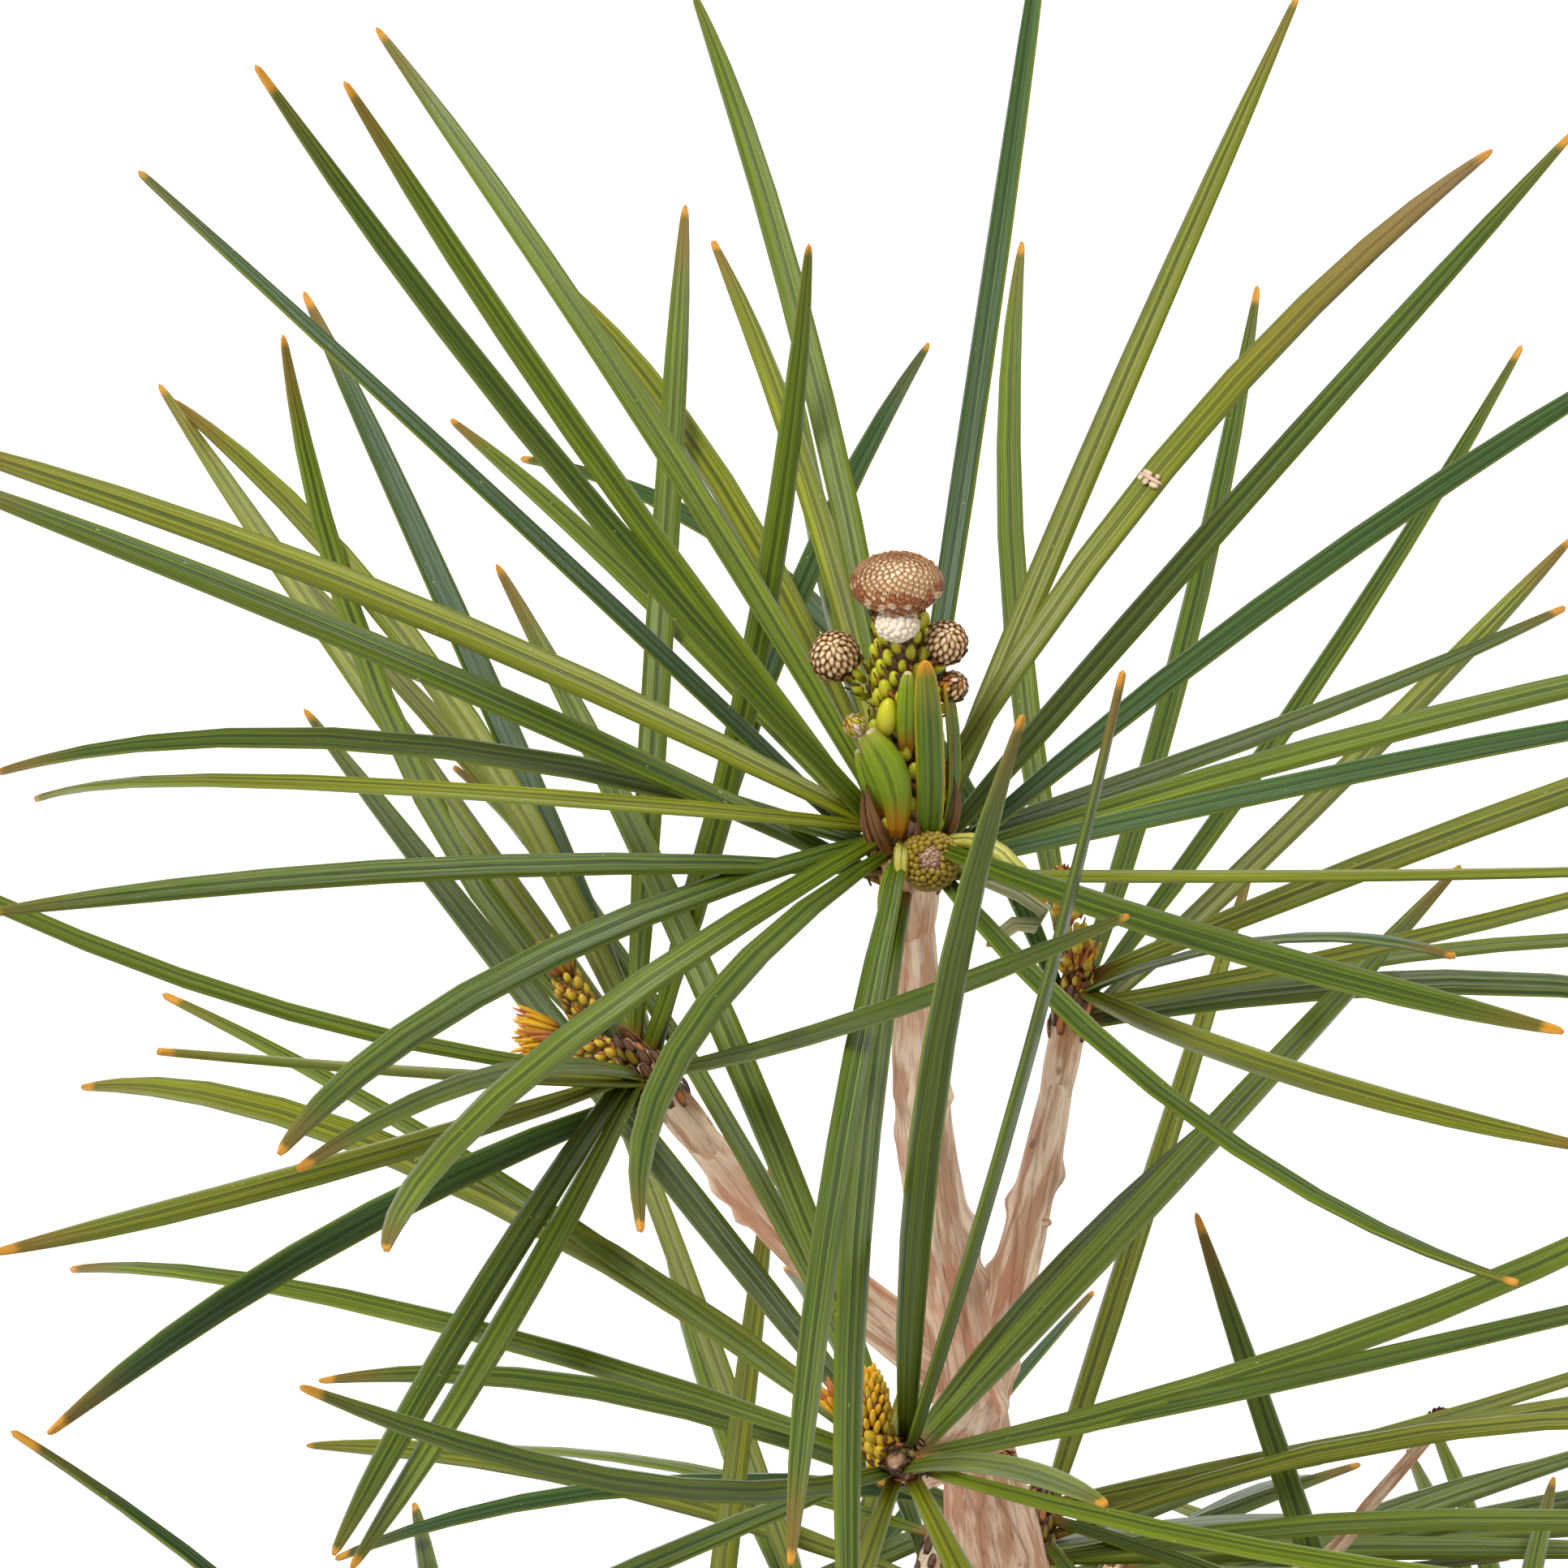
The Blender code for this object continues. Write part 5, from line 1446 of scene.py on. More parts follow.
class Cluster(Joined):
    """Scales, beads, balls and rods joined to one piece, with the draws that vary them."""

    scale, ball, bead, rod = scale_blank(), ball_blank(), ball_blank(8, 6), ball_blank(6, 6)

    def __init__(self, rng):
        super().__init__()
        self.rng = rng

    def lay(self, blank, matrix, slots):
        """One copy with a look dealt from slots."""
        self.add(blank, placed(blank, matrix), self.rng.choice(slots), self.rng.random())

    def core(self, middle, radius, flat, slot):
        self.add(self.ball, placed(self.ball, sized(middle, radius, radius, radius * flat)), slot, 0.3)

    def whorl_scales(self, hub, shoot, radius, slots, count):
        """Brown bud scales pressed to the stem where a whorl's needles leave it."""
        for i, out in spiral_round(shoot, count):
            part = i / count
            height = WHORL_HEIGHT * (BUD_CLIMB[0] + BUD_CLIMB[1] * part)
            along = (shoot + out * (BUD_LEAN[0] + BUD_LEAN[1] * part)).normalized()
            size = self.rng.uniform(*BUD_SCALE_SIZES)
            closing = BUD_CLOSE * max(0.0, part - BUD_CLOSE_FROM) ** BUD_CLOSE_BEND
            foot = hub + shoot * height + out * radius * (1.0 - closing)
            self.lay(self.scale, attitude(foot, along, out, size, size * 0.5), slots)

    def shingle(self, middle, radius, flat, count, size, slots, top=1.0, bottom=-0.8, lift=0.25, facing=UP,
                narrow=0.58):
        """Small scales that overlap like shingles over a round head, their tips towards the way it faces."""
        for way, turn in spiral_over(count, top, bottom, facing):
            level = Vector((way.x, way.y, way.z * (flat if way.z > 0 else flat * UNDERSIDE_FLAT)))
            climb = UP - way * way.z
            climb = climb.normalized() if climb.length > 0.02 else Vector((1, 0, 0))
            skin, out = turn @ level * radius, turn @ way
            along = (turn @ climb + out * lift).normalized()
            length = size * self.rng.uniform(*SHINGLE_LENGTHS)
            foot = middle + skin - along * length * SHINGLE_BACK - out * size * SHINGLE_SINK
            width = size * narrow * self.rng.uniform(*SHINGLE_WIDTHS)
            self.lay(self.scale, attitude(foot, along, out, length, width, size * SHINGLE_THICK), slots)

    def beads(self, middle, radius, count, sizes, slots, facing=UP, top=1.0, bottom=-0.9, flat=1.0):
        """Small beads set over a ball in a spiral round the way it faces."""
        for way, turn in spiral_over(count, top, bottom, facing):
            out = turn @ way
            spot = middle + Vector((out.x, out.y, out.z * flat)) * radius
            size = self.rng.uniform(*sizes)
            self.lay(self.bead, attitude(spot, out, out.orthogonal(), size, size, size), slots)

    def buds(self, first, last, radii, count, size, bud, socket, dry):
        """Teardrop buds in scaly sockets, set in a spiral up a stalk from first to last."""
        way = (last - first).normalized()
        for i, out in spiral_round(way, count):
            part = i / (count - 1)
            middle = first.lerp(last, part)
            radius = radii[0] + (radii[1] - radii[0]) * part
            tall = size * self.rng.uniform(*TEAR_HEIGHTS)
            along = (way + out * self.rng.uniform(*TEAR_LEANS)).normalized()
            spot = attitude(middle + out * radius, along, out, *(tall * share for share in TEAR_SHAPE))
            self.add(self.ball, placed(self.ball, spot), bud, self.rng.random())
            for turn in SOCKET_TURNS:
                near = Matrix.Rotation(turn, 3, way) @ out
                lean = (way + near * SOCKET_LEAN + way.cross(near) * turn).normalized()
                foot = middle + near * (radius + SOCKET_LIFT) - way * tall * SOCKET_DROP
                self.lay(self.scale, attitude(foot, lean, near, *(tall * share for share in SOCKET_SHAPE)),
                         (socket, dry, dry))

    def brush(self, foot, way, length, spread, count, slots):
        """A spent cone open like a brush: many narrow rods that fan out from one foot."""
        for i, out in spiral_round(way, count):
            share = sqrt((i + 0.5) / count)
            along = (way * cos(spread * share) + out * sin(spread * share)).normalized()
            reach = length * self.rng.uniform(*BRUSH_REACHES)
            middle = foot + out * (length * BRUSH_FOOT * share) + along * reach * 0.5
            self.lay(self.rod, attitude(middle, along, out, reach * 0.5, BRUSH_ROD, BRUSH_ROD), slots)

    def catkin(self, foot, way, length, radius, count, slots):
        """A spent cone of finger-like scales set in a spiral up its axis, each leaning a little out."""
        for i, out in spiral_round(way, count):
            part = (i + 0.5) / count
            half = length * self.rng.uniform(*CATKIN_HALVES)
            along = (way + out * self.rng.uniform(*CATKIN_LEANS)).normalized()
            middle = (foot + way * (length * (CATKIN_START + CATKIN_RUN * part))
                      + out * radius * (1.0 - CATKIN_SLIM * part ** CATKIN_SLIM_BEND))
            self.lay(self.rod, attitude(middle, along, out, half, CATKIN_ROD, CATKIN_ROD), slots)


# Layers of scales on the leader's flat cap, from its top down: radius and flatness, count, size and looks
CAP_LAYERS = (
    (1.0, 0.56, 200, 0.00165, (BUFF,), {"bottom": 0.22, "lift": 0.46}),
    (1.0, 0.57, 80, 0.0018, (BUFF, RUSSET, RUSSET), {"top": 0.24, "bottom": -0.1, "lift": 0.4}),
    (0.98, 0.6, 76, 0.002, (RUSSET, RUSSET, WHITE, RUSSET),
     {"top": -0.08, "bottom": -0.62, "lift": 0.6, "narrow": 0.62}),
)
# The cap below its head's middle and the neck below the cap, then the knob, the low front head and its eye
CAP_DROP, CAP_SHARE, NECK_DROP, NECK_RADIUS = 0.0006, 0.93, 0.0026, 0.0024
KNOB_SHIFT, KNOB_FACING = Vector((0.0, -0.0014, 0.0006)), Vector((0, -1, 0.3))
FRONT_SHIFT, FRONT_FACING, EYE_REACH = Vector((-0.0004, 0.0, 0.0)), Vector((0.05, -0.8, 0.62)).normalized(), 0.4
# Radii of the beads on the knob, the front head and its eye
KNOB_BEADS, FRONT_BEADS, EYE_BEADS = (0.00032, 0.00044), (0.0003, 0.0004), (0.00014, 0.0002)
# The budded axis: foot and top from the whorl's middle, its cores, and how far out its buds stand
AXIS_FOOT, AXIS_TOP = Vector((0, 0, 0.004)), Vector((TOP_AXIS_LEAN, 0, 0.0256))
AXIS_CORES, AXIS_CORE_RADIUS, AXIS_TAPER, AXIS_BUDS = 12, 0.0032, 0.001, (0.0036, 0.0021)
# A pod on the axis and the pale cut end of a stalk: place from the whorl's middle, way and sizes
POD_PLACE, POD_WAY, POD_SIZES = Vector((-0.0023, -0.0034, 0.0165)), Vector((0.1, 0, 1)), (0.0021, 0.001, 0.001)
CUT_PLACE, CUT_RADIUS, CUT_FACING = Vector((-0.0052, -0.004, 0.016)), 0.00105, Vector((-0.6, -0.25, 0.75))
# The three heads that stand beside the cap: place in TOP_HEADS, shift in millimetres, share of the radius,
# how tall, size of a scale, the way it faces and its upper looks
SIDE_HEADS = (
    (2, (0.0, 0.0, -0.2), 0.88, 1.06, 0.0012, (-0.1, -0.6, 0.8), (BUFF,)),
    (3, (0.0, 0.0, -0.4), 0.88, 1.12, 0.00115, (0.1, -0.6, 0.8), (BUFF,)),
    (4, (-0.3, 0.0, -0.3), 0.8, 1.2, 0.00105, (0.5, -0.5, 0.7), (BUFF, BUFF, RUSSET, OLIVE)),
)
# Small buds on the trunk: height, bearing, reach from its middle and size
TRUNK_BUDS = (
    (0.2815, -62, 0.0056, 0.0011), (0.256, -120, 0.0066, 0.001), (0.235, 20, 0.0072, 0.001),
    (0.248, 110, 0.0068, 0.0011),
)
# Spent cones at side whorls: foot in millimetres from the whorl's middle, way, length, spread, rods, looks
SPENT_CONES = (
    ("left", (-9.2, 2.0, 3.6), (-1.0, -0.1, 0.1), 4.6, 0.42, 70, (AMBER, RUSSET, AMBER)),
    ("left", (-8.6, 5.4, 9.0), (-0.5, 0.1, 1.0), 3.6, 0.46, 54, (AMBER, AMBER, RUSSET)),
    ("front", (-5.6, 0.0, 5.6), (-0.4, 0.0, 1.0), 3.4, 0.4, 30, (AMBER, RUSSET)),
    ("right", (0.6, 1.0, 4.2), (0.2, 0.0, 1.0), 3.0, 0.36, 30, (AMBER, GOLD, RUSSET)),
    ("right", (-1.4, 0.0, 14.4), (0.1, 0.0, 1.0), 2.2, 0.34, 26, (BROWN, RUSSET, RUSSET, AMBER)),
)
# The front whorl's catkin: foot in millimetres from the whorl's middle, way, length, girth and scales
CATKINS = (("front", (-3.1, -1.0, 4.6), (0.0, -0.1, 1.0), 7.4, 1.8, 64),)
# Golden buds up the stalks of the spent cones: first and last place in millimetres, count and size
GOLD_SCALES = (
    ("left", (-1.0, 0.5, 1.0), (-8.2, 1.8, 3.4), 44, 1.2), ("left", (-6.0, 3.0, 4.0), (-8.8, 5.0, 8.8), 30, 1.1),
    ("front", (-1.0, -1.8, 0.0), (-3.0, -1.4, 5.0), 36, 1.7), ("right", (0.2, 0.5, 0.0), (0.6, 1.0, 4.4), 18, 1.1),
    ("right", (0.4, 0.8, 4.0), (-1.4, 0.0, 14.6), 22, 1.4),
)


def make_young_cones(rng, looks):
    """The leader's cluster: a flat cap over a white knob, heads beside it and one low in front."""
    heads = Cluster(rng)
    spots = [(TOP_HUB + Vector(offset), radius, flat) for offset, radius, flat in TOP_HEADS]
    top, knob, front = spots[0], spots[1], spots[-1]

    cap, radius = top[0] - UP * CAP_DROP, top[1] * CAP_SHARE
    heads.core(cap, radius * 0.95, 0.54, BROWN)
    for wide, flat, count, size, slots, reach in CAP_LAYERS:
        heads.shingle(cap, radius * wide, flat, count, size, slots, **reach)
    neck = cap - UP * NECK_DROP
    heads.core(neck, NECK_RADIUS, 1.0, BROWN)
    heads.shingle(neck, NECK_RADIUS, 1.1, 80, 0.0013, (RUSSET, RUSSET, BROWN), top=0.5, bottom=-0.95, lift=0.5)
    bump = knob[0] + KNOB_SHIFT
    heads.core(bump, knob[1] * 0.88, 0.66, WHITE)
    heads.beads(bump, knob[1] * 0.8, 70, KNOB_BEADS, (WHITE,), KNOB_FACING, bottom=-0.4, flat=0.7)

    for place, shift, wide, tall, size, facing, upper in SIDE_HEADS:
        middle, radius = spots[place][0] + Vector(shift) * 0.001, spots[place][1] * wide
        count, facing = round(17 * (radius / size) ** 2), Vector(facing)
        heads.core(middle, radius * 0.94, tall * 0.98, BROWN)
        heads.shingle(middle, radius, tall, count, size, upper, bottom=0.15, facing=facing)
        heads.shingle(middle, radius, tall, count // 2, size * 1.15, (BUFF, RUSSET, RUSSET, OLIVE),
                      top=0.15, bottom=-0.85, facing=facing)
        inner = TOP_HUB + Vector((TOP_AXIS_LEAN, 0, middle.z - TOP_HUB.z - STALK_DROP))
        heads.buds(inner, middle - (middle - inner).normalized() * radius * 0.6,
                   (0.0011, 0.0013), 18, 0.0013, GREEN, RUSSET, BROWN)

    middle = front[0] + FRONT_SHIFT
    heads.core(middle, front[1] * 0.92, front[2], BROWN)
    heads.beads(middle, front[1] * 0.94, 210, FRONT_BEADS, (OLIVE,), FRONT_FACING, 0.9, -0.8)
    eye = middle + FRONT_FACING * front[1] * EYE_REACH
    heads.core(eye, front[1] * 0.56, 1.0, ROSE)
    heads.beads(eye, front[1] * 0.55, 70, EYE_BEADS, (ROSE, ROSE, BROWN), FRONT_FACING, bottom=0.3)

    foot, end = TOP_HUB + AXIS_FOOT, TOP_HUB + AXIS_TOP
    for i in range(AXIS_CORES):
        part = i / (AXIS_CORES - 1)
        heads.core(foot.lerp(end, part), AXIS_CORE_RADIUS - AXIS_TAPER * part, 1.1, BROWN)
    heads.buds(foot, end, AXIS_BUDS, 136, 0.0017, GREEN, RUSSET, BROWN)
    pod = attitude(TOP_HUB + POD_PLACE, POD_WAY, Vector((0, -1, 0)), *POD_SIZES)
    heads.add(heads.ball, placed(heads.ball, pod), GREEN, 0.35)
    heads.core(TOP_HUB + CUT_PLACE, CUT_RADIUS, 1.0, WHITE)
    heads.shingle(TOP_HUB + CUT_PLACE, CUT_RADIUS, 1.0, 34, 0.0011, (GREEN, WHITE, GOLD), facing=CUT_FACING,
                  narrow=0.45)
    heads.piece("young_cones", looks, "needles", [])


def make_bud_scales(rng, looks, specs):
    """Brown scales at every whorl and at every side twig's."""
    scales = Cluster(rng)
    for spec in specs:
        points, radii, shoot = bough_course(spec)
        radius = radii[-1] * WHORL_SWELL * 0.76
        scales.whorl_scales(spec["hub"], shoot, radius, (RUSSET, BROWN, BROWN, OLIVE), 56)
        for _, end, way in side_twigs(spec, points[-1] + shoot * GAP, shoot):
            scales.whorl_scales(end, way, SIDE_TWIG_RADIUS, (RUSSET, BROWN, BROWN, OLIVE), 24)
    scales.whorl_scales(TOP_HUB, UP, TOP_HUB_RADIUS * 0.9, (RUSSET, BROWN, OLIVE), 26)
    scales.piece("bud_scales", looks, "needles", [])


def make_spent_cones(rng, looks, specs):
    """Last year's cones at the side whorls, the dry head at the end of its twig and the trunk's small buds."""
    spent = Cluster(rng)
    hubs = {spec["name"]: spec["hub"] for spec in specs}

    def near(name, offset):
        return hubs[name] + Vector(offset) * 0.001

    for name, offset, way, length, spread, count, slots in SPENT_CONES:
        foot = near(name, offset)
        spent.brush(foot, Vector(way).normalized(), length * 0.001, spread, count, slots)
        spent.core(foot, length * 0.00026, 1.0, BROWN)
    for name, offset, way, length, girth, count in CATKINS:
        foot, way = near(name, offset), Vector(way).normalized()
        spent.catkin(foot, way, length * 0.001, girth * 0.001, count, (AMBER, AMBER, AMBER, GOLD))
        half, thick = length * 0.00042, girth * 0.0008
        core = attitude(foot + way * half, way, way.orthogonal(), half, thick, thick)
        spent.add(spent.ball, placed(spent.ball, core), BROWN, 0.2)
    for name, first, last, count, size in GOLD_SCALES:
        spent.buds(near(name, first), near(name, last), (0.0015, 0.0012), count, size * 0.001, GOLD, BROWN, RUSSET)
    dry = dry_stalk(hubs[DRY_BOUGH])[-1]
    spent.core(dry, DRY_HEAD_RADIUS * 0.8, 0.9, BROWN)
    spent.shingle(dry, DRY_HEAD_RADIUS * 0.85, 0.9, 60, 0.0012, (BROWN, BROWN, RUSSET), bottom=-0.9, lift=0.8)
    for height, bearing, reach, size in TRUNK_BUDS:
        out = level_way(bearing, 0.15).normalized()
        middle = trunk_middle(height) + out * reach
        spent.core(middle, size * 0.8, 1.0, BROWN)
        spent.shingle(middle, size, 1.0, 26, size * 0.9, (AMBER, GOLD, RUSSET), bottom=-0.2, lift=0.5, facing=out)
    spent.piece("spent_cones", looks, "needles", [])


def make_cones(specs):
    """All cones and scales, drawn from one run of numbers."""
    looks = [scale_material(name, *tones) for name, tones in SCALE_LOOKS.items()]
    rng = random.Random(CONE_SEED)
    make_young_cones(rng, looks)
    make_bud_scales(rng, looks, specs)
    make_spent_cones(rng, looks, specs)


class Course:
    """A smooth line through a few points, read by share of its length."""

    def __init__(self, points):
        self.points, _ = smooth_course(points, [0.0] * len(points), 0.0004)
        steps = [(after - before).length for before, after in zip(self.points, self.points[1:])]
        self.reach = np.concatenate([[0.0], np.cumsum(steps)])

    def at(self, part):
        goal = part * self.reach[-1]
        i = min(int(np.searchsorted(self.reach, goal, "right")) - 1, len(self.points) - 2)
        low, high = self.points[i], self.points[i + 1]
        rest = (goal - self.reach[i]) / (self.reach[i + 1] - self.reach[i])
        return low.lerp(high, rest), (high - low).normalized()


def bent(blank, points, facing, half_width, half_thick, cup=0.0):
    """The blank's points laid along a smooth line, its face turned to facing and its edges cupped forward."""
    course, out = Course(points), []
    for x, y, z in blank.points:
        middle, along = course.at(held(z, 0.0, 1.0))
        side = facing.cross(along).normalized()
        face = along.cross(side)
        out.append((middle + side * (x * half_width) + face * (y * half_thick + cup * x * x))[:])
    return np.array(out)


# Short leaves' outlines: half widths along their length, as shares
LEAF_STATIONS = (0.0, 0.1, 0.25, 0.4, 0.55, 0.7, 0.82, 0.91, 0.96, 0.985)
LEAF_WIDTHS = {
    "lance": ((0.0, 0.72), (0.1, 0.82), (0.4, 1.0), (0.7, 0.98), (0.86, 0.86), (0.95, 0.62), (0.985, 0.36),
              (1.0, 0.0)),
    "bract": ((0.0, 0.46), (0.3, 0.7), (0.62, 1.0), (0.8, 0.9), (0.93, 0.64), (0.985, 0.54), (1.0, 0.0)),
    "paper": ((0.0, 0.9), (0.3, 1.0), (0.6, 0.75), (0.8, 0.45), (1.0, 0.0)),
}

# Short leaves round the leader's young cones: shape, look, course in millimetres from the whorl's
# middle, the way its face looks, half width and half thickness in millimetres, and cup
SHORT_LEAVES = (
    ("lance", 0, ((1.5, -3.2, 1.0), (1.9, -4.3, 7.0), (1.7, -4.9, 15.0), (1.1, -4.7, 23.4)),
     (0.15, -1, 0.1), 1.38, 0.3, -0.3),
    ("lance", 0, ((3.0, -1.0, 2.0), (3.9, -2.0, 8.0), (3.8, -2.2, 14.0), (3.2, -2.0, 19.6)),
     (0.9, -0.6, 0.1), 1.0, 0.28, 0.3),
    ("bract", 1, ((-1.2, -3.2, 4.0), (-1.35, -4.5, 8.4), (-2.3, -4.8, 12.1), (-4.4, -4.2, 15.6)),
     (-0.2, -1, 0.2), 1.95, 0.95, 0.0),
    ("lance", 1, ((-0.4, -2.6, 12.4), (-0.5, -3.7, 15.0), (-0.5, -4.1, 18.5), (-0.4, -3.6, 21.6)),
     (0, -1, 0.1), 0.92, 0.62, 0.0),
    ("lance", 1, ((-2.0, -1.6, 4.0), (-3.2, -2.8, 7.5), (-4.2, -3.0, 10.0), (-4.9, -2.6, 12.8)),
     (-0.4, -1, 0.2), 0.85, 0.4, 0.0),
    ("paper", 2, ((-1.9, -3.0, 1.0), (-3.0, -3.9, 4.0), (-3.7, -4.0, 6.5), (-4.2, -3.4, 9.4)),
     (-0.5, -1, 0.2), 0.95, 0.16, -0.5),
    ("paper", 2, ((-2.6, -2.4, 0.0), (-4.0, -3.0, 3.0), (-4.5, -2.9, 5.8), (-4.4, -2.6, 8.8)),
     (-0.7, -1, 0.2), 0.62, 0.15, -0.4),
    ("paper", 2, ((3.4, -1.6, 1.6), (4.3, -2.4, 4.5), (4.5, -2.5, 7.0), (4.0, -2.2, 9.6)),
     (0.6, -1, 0.2), 0.7, 0.15, -0.4),
    ("paper", 2, ((3.3, -1.8, 8.0), (3.8, -2.6, 10.5), (3.9, -2.6, 13.0), (3.6, -2.2, 15.4)),
     (0.6, -1, 0.2), 0.55, 0.15, -0.4),
    ("paper", 2, ((0.2, -3.0, 0.6), (0.6, -4.0, 2.8), (0.7, -4.6, 4.6), (0.6, -4.8, 6.6)),
     (0, -1, 0.3), 0.6, 0.18, -0.3),
    ("lance", 4, ((-0.8, -3.4, 2.6), (-0.8, -5.6, 3.9), (-0.9, -7.0, 3.5), (-0.9, -7.9, 1.5)),
     (0, -1, 0.5), 0.72, 0.24, -0.2),
    ("lance", 0, ((-0.9, -3.4, 0.6), (-1.3, -6.4, 2.2), (-1.9, -8.8, 1.4), (-2.6, -10.4, -0.9)),
     (0, -0.7, 1), 1.1, 0.28, -0.3),
    ("lance", 4, ((3.0, -2.4, 2.6), (5.4, -4.6, 4.2), (8.2, -6.6, 4.2), (12.8, -9.2, 0.0)),
     (0.2, -0.8, 1), 0.95, 0.28, -0.3),
    ("lance", 3, ((3.0, -2.2, 0.2), (8.6, -4.6, -0.9), (12.4, -5.6, -2.4), (13.0, -6.4, -4.6),
      (10.4, -6.9, -3.4), (7.2, -7.0, -6.2)),
     (0.3, -0.6, 1), 0.9, 0.24, -0.2),
)


def make_short_leaves(looks):
    """The short flat leaves, fleshy bracts and papery scales round the leader's young cones."""
    blanks = {shape: blade_blank(LEAF_STATIONS, widths) for shape, widths in LEAF_WIDTHS.items()}
    joined, rng = Joined(), random.Random(LEAF_SEED)
    for shape, look, course, facing, half_width, half_thick, cup in SHORT_LEAVES:
        points = [TOP_HUB + Vector(point) * 0.001 for point in course]
        laid_points = bent(blanks[shape], points, Vector(facing).normalized(), half_width * 0.001,
                           half_thick * 0.001, cup * 0.001)
        joined.add(blanks[shape], laid_points, look, rng.random())
    joined.piece("short_leaves", looks, "needles", [])


# Pot, soil and what lies on it

# The fine pot: its edges' rounding, its rings and sides, its throwing marks and sag, and how much slimmer it starts
EDGE_ROUND, EDGE_STEPS = 0.0012, 4
POT_RING_STEP, POT_FINE_SIDES = 0.006, 144
THROWN, SAG, POT_SLIM = 0.00012, 0.00018, 0.0003


def rounded(corners):
    """A profile with its corners rounded by short curves."""
    profile = [corners[0]]
    for before, corner, after in zip(corners, corners[1:], corners[2:]):
        ends = [end - corner for end in (before, after)]
        reach = min(EDGE_ROUND, min(end.length for end in ends) * 0.45)
        first, last = (corner + end.normalized() * reach for end in ends)
        for i in range(EDGE_STEPS + 1):
            t = i / EDGE_STEPS
            profile.append(first.lerp(corner, t).lerp(corner.lerp(last, t), t))
    return profile + [corners[-1]]


def make_pot(clay):
    profile = rounded([Vector((radius, 0.0, height)) for radius, height in pot_profile()])
    rings = []
    for low, high in zip(profile, profile[1:]):
        count = max(1, round((high - low).length / POT_RING_STEP))
        rings += [low.lerp(high, k / count) for k in range(count)]
    bm = turned([(point.x, point.z) for point in rings + profile[-1:]], POT_FINE_SIDES)
    for vert in bm.verts:
        radius = vert.co.xy.length
        if radius > POT_FOOT_RADIUS * 0.9:
            swell = noise.noise(Vector((0.0, 0.0, vert.co.z * 260))) * THROWN
            sag = noise.noise(vert.co * 22) * SAG
            vert.co.xy *= 1 + (swell + sag - POT_SLIM) / radius
    mesh = mesh_of("pot_fine", bm)
    mesh.set_sharp_from_angle(angle=radians(50))
    pot = show("pot_fine", mesh, [clay], ["pot"])
    for i in range(HOLE_COUNT):
        spot = level_way(360 * (i + 0.25) / HOLE_COUNT) * HOLE_RING + UP * (POT_FLOOR / 2)
        bm = bmesh.new()
        bmesh.ops.create_cone(bm, cap_ends=True, segments=32, radius1=HOLE_RADIUS, radius2=HOLE_RADIUS,
                              depth=2 * POT_FLOOR, matrix=Matrix.Translation(spot))
        cutter = in_scene(f"drain_cutter_{i}", mesh_of("drain_cutter", bm))
        drain = pot.modifiers.new(f"drain_{i}", "BOOLEAN")
        drain.operation, drain.object = "DIFFERENCE", cutter
        cut = bpy.data.meshes.new_from_object(pot.evaluated_get(bpy.context.evaluated_depsgraph_get()))
        pot.modifiers.clear()
        pot.data = cut
        bpy.data.objects.remove(cutter)


# The soil's heap round the trunk: its middle, radius and height; then its lumps, rings and sides
HEAP = Vector((0.006, 0.0))
HEAP_RADIUS, HEAP_HEIGHT = 0.018, 0.0012
LUMP_HEIGHT, SOIL_SINK, SOIL_EDGE = 0.0018, 0.0006, 0.003
SOIL_RINGS, SOIL_SIDES = 60, 150
# Bark chips: how many, how far from the wall and the trunk, height over the soil, size, tilt, length and thickness
CHIP_COUNT, CHIP_MARGIN, CHIP_CLEAR = 170, 0.008, 0.013
CHIP_HEIGHTS, CHIP_SIZES, CHIP_TILT = (-0.0002, 0.0012), (0.002, 0.0048), 0.35
CHIP_LONG, CHIP_THIN = (1.2, 2.2), (0.25, 0.5)


def make_soil(earth):
    """A lumpy soil surface inside the pot."""
    top = inner_radius(SOIL_TOP) - GAP
    profile = soil_profile()[:-1] + [(top * (1 - i / SOIL_RINGS), SOIL_TOP) for i in range(1, SOIL_RINGS + 1)]
    bm = turned(profile, SOIL_SIDES)
    for vert in bm.verts:
        if vert.co.z > SOIL_TOP - 0.0001:
            inside = min(1.0, (top - vert.co.xy.length) / SOIL_EDGE)
            lumps = 0.6 * noise.noise(vert.co * 130) + 0.4 * noise.noise(vert.co * 380)
            heap = HEAP_HEIGHT * exp(-((vert.co.xy - HEAP).length / HEAP_RADIUS) ** 2)
            vert.co.z += inside * (LUMP_HEIGHT * lumps + heap - SOIL_SINK)
    show("soil_fine", mesh_of("soil_fine", bm), [earth], ["soil"])


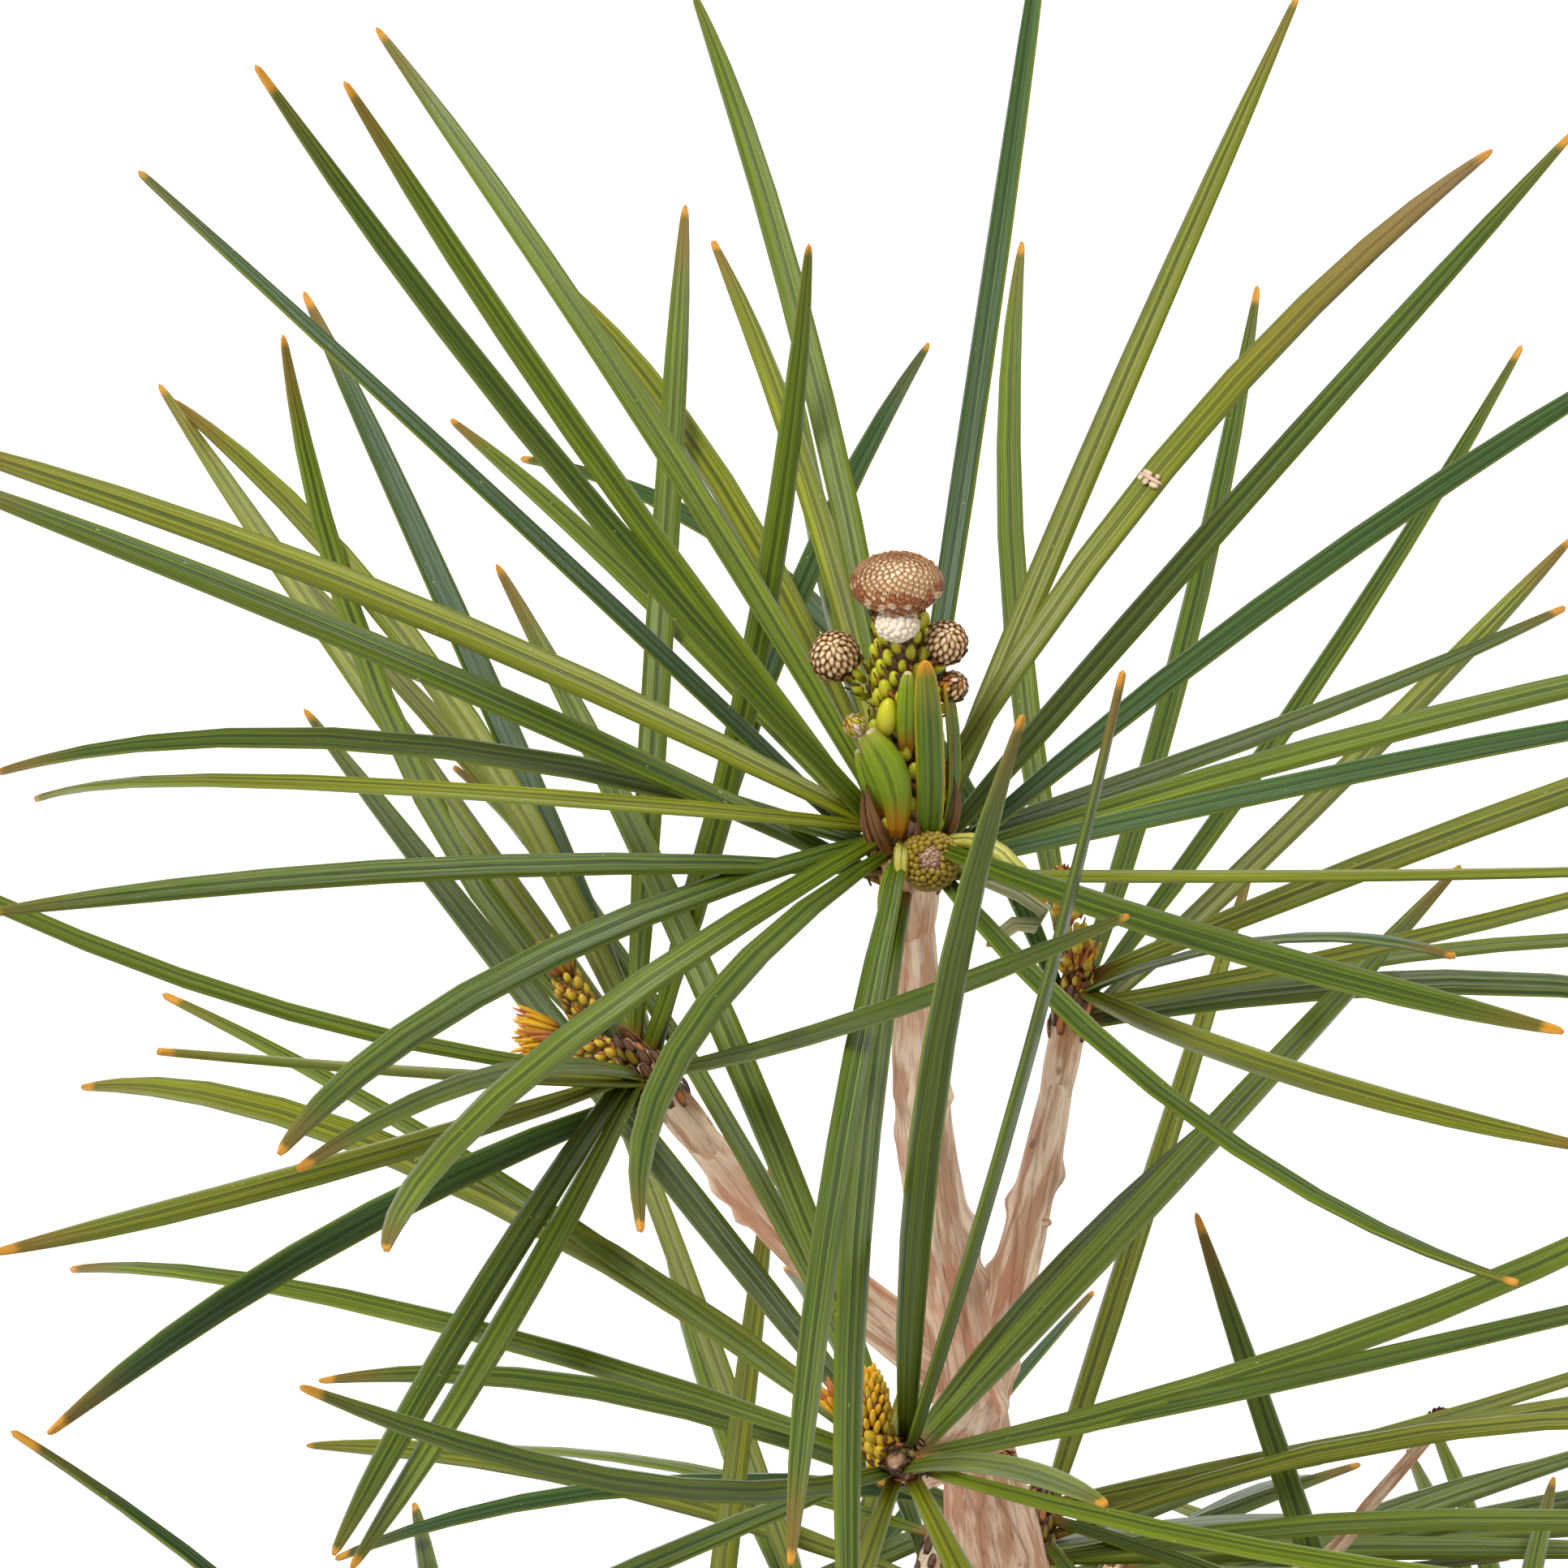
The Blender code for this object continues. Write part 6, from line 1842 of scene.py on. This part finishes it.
def make_chips(look):
    """Bark chips strewn over the soil, clear of the pot's wall and of the trunk."""
    blank, joined, rng = chip_blank(), Joined(), random.Random(CHIP_SEED)
    widest = inner_radius(SOIL_TOP) - GAP - CHIP_MARGIN
    for _ in range(CHIP_COUNT):
        turn, reach = rng.uniform(0, 2 * pi), widest * sqrt(rng.random())
        spot = Vector((reach * cos(turn), reach * sin(turn), SOIL_TOP + rng.uniform(*CHIP_HEIGHTS)))
        if (spot.xy - HEAP).length < CHIP_CLEAR:
            continue
        tilt = Matrix.Rotation(varied(rng, 0.0, CHIP_TILT), 4, Vector((rng.random() - 0.5, rng.random() - 0.5, 0.05)))
        size = rng.uniform(*CHIP_SIZES)
        matrix = (Matrix.Translation(spot) @ tilt @ Matrix.Rotation(rng.uniform(0, 6.3), 4, "Z")
                  @ Matrix.Diagonal((size * rng.uniform(*CHIP_LONG), size, size * rng.uniform(*CHIP_THIN), 1.0)))
        joined.add(blank, placed(blank, matrix), 0, rng.random())
    joined.piece("bark_chips", [look], "soil", [])


def chip_blank():
    """A rough chip: a cube with its edges bevelled and its corners pulled about."""
    bm = bmesh.new()
    bmesh.ops.create_cube(bm, size=1.0)
    bmesh.ops.bevel(bm, geom=bm.edges[:] + bm.verts[:], offset=0.14, segments=1, profile=0.5,
                    affect="EDGES", material=-1)
    noise.seed_set(CHIP_SHAPE_SEED)
    for vert in bm.verts:
        vert.co += noise.noise_vector(vert.co * 2.3) * 0.16
    faces = list(bm.faces)
    side = ceil(sqrt(len(faces)))
    cells = {face: (i % side, i // side) for i, face in enumerate(faces)}

    def marks(face, spot):
        column, row = cells[face]
        first = face.loops[0]
        along = (first.link_loop_next.vert.co - first.vert.co).normalized()
        over = face.normal.cross(along)
        offset = spot - face.calc_center_median()
        u, v = (held(0.5 + 0.7 * offset.dot(way), 0.04, 0.96) for way in (along, over))
        return (0.5 + spot.y, 0.5 + spot.x, (column + u) / side, (row + v) / side)

    return Blank(bm, marks)


# Stage, light and camera

def make_stage():
    bm = bmesh.new()
    bmesh.ops.create_grid(bm, x_segments=1, y_segments=1, size=4.0)
    floor = in_scene("floor", mesh_of("floor", bm))
    made, _, shader = finish("pale_floor", 0.9)
    shader.inputs["Base Color"].default_value = (0.93, 0.93, 0.93, 1.0)
    shader.inputs["Specular IOR Level"].default_value = 0.1
    floor.data.materials.append(made)


# Soft lights: name, place, size and watts, then the strength of the white sky
LIGHTS = (("key_light", (-1.2, -1.0, 3.0), 1.3, 100), ("back_light", (1.3, 1.2, 2.6), 1.0, 46))
SKY_STRENGTH = 0.5


def light_scene():
    """An even white sky and two soft lights turned to the leader's whorl."""
    world = bpy.data.worlds.new("studio")
    bpy.context.scene.world = world
    world.use_nodes = True
    sky = world.node_tree.nodes["Background"]
    sky.inputs["Color"].default_value = (1.0, 1.0, 1.0, 1.0)
    sky.inputs["Strength"].default_value = SKY_STRENGTH
    for name, spot, size, watts in LIGHTS:
        data = bpy.data.lights.new(name, "AREA")
        data.energy, data.size = watts, size
        lamp = in_scene(name, data)
        lamp.location = spot
        lamp.rotation_euler = (TOP_HUB - Vector(spot)).to_track_quat("-Z", "Y").to_euler()
    bpy.context.scene.view_settings.view_transform = "Standard"


def set_camera():
    drop = radians(VIEW_DROP)
    right = Vector((1.0, 0.0, 0.0))
    forward = Vector((0.0, cos(drop), -sin(drop)))
    up = Vector((0.0, sin(drop), cos(drop)))
    half = PICTURE_SIDE / 2
    back = forward * (LENS / SENSOR * PICTURE_SIDE)
    shift = right * (LEADER_PIXEL[0] - half) - up * (LEADER_PIXEL[1] - half) + back
    data = bpy.data.cameras.new("camera")
    data.lens = LENS
    data.sensor_width = SENSOR
    camera = in_scene("camera", data)
    camera.matrix_world = frame_of(right, up, -forward, TOP_HUB - shift / PIXELS_PER_METRE)
    bpy.context.scene.camera = camera


def main():
    set_camera()
    light_scene()
    make_stage()
    specs, grown = grow_plant()
    blade = blade_group()
    make_needles(grown, blade_blank(FINE_STATIONS, FINE_WIDTHS), needle_materials(blade))
    make_short_leaves(short_leaf_materials(blade))
    trunk_bark, bough_bark, twig_bark = bark_materials()
    make_trunk(trunk_bark)
    make_boughs(specs, bough_bark)
    make_stems(specs, twig_bark)
    make_cones(specs)
    make_pot(clay_material())
    make_soil(soil_material())
    make_chips(chip_material())


main()
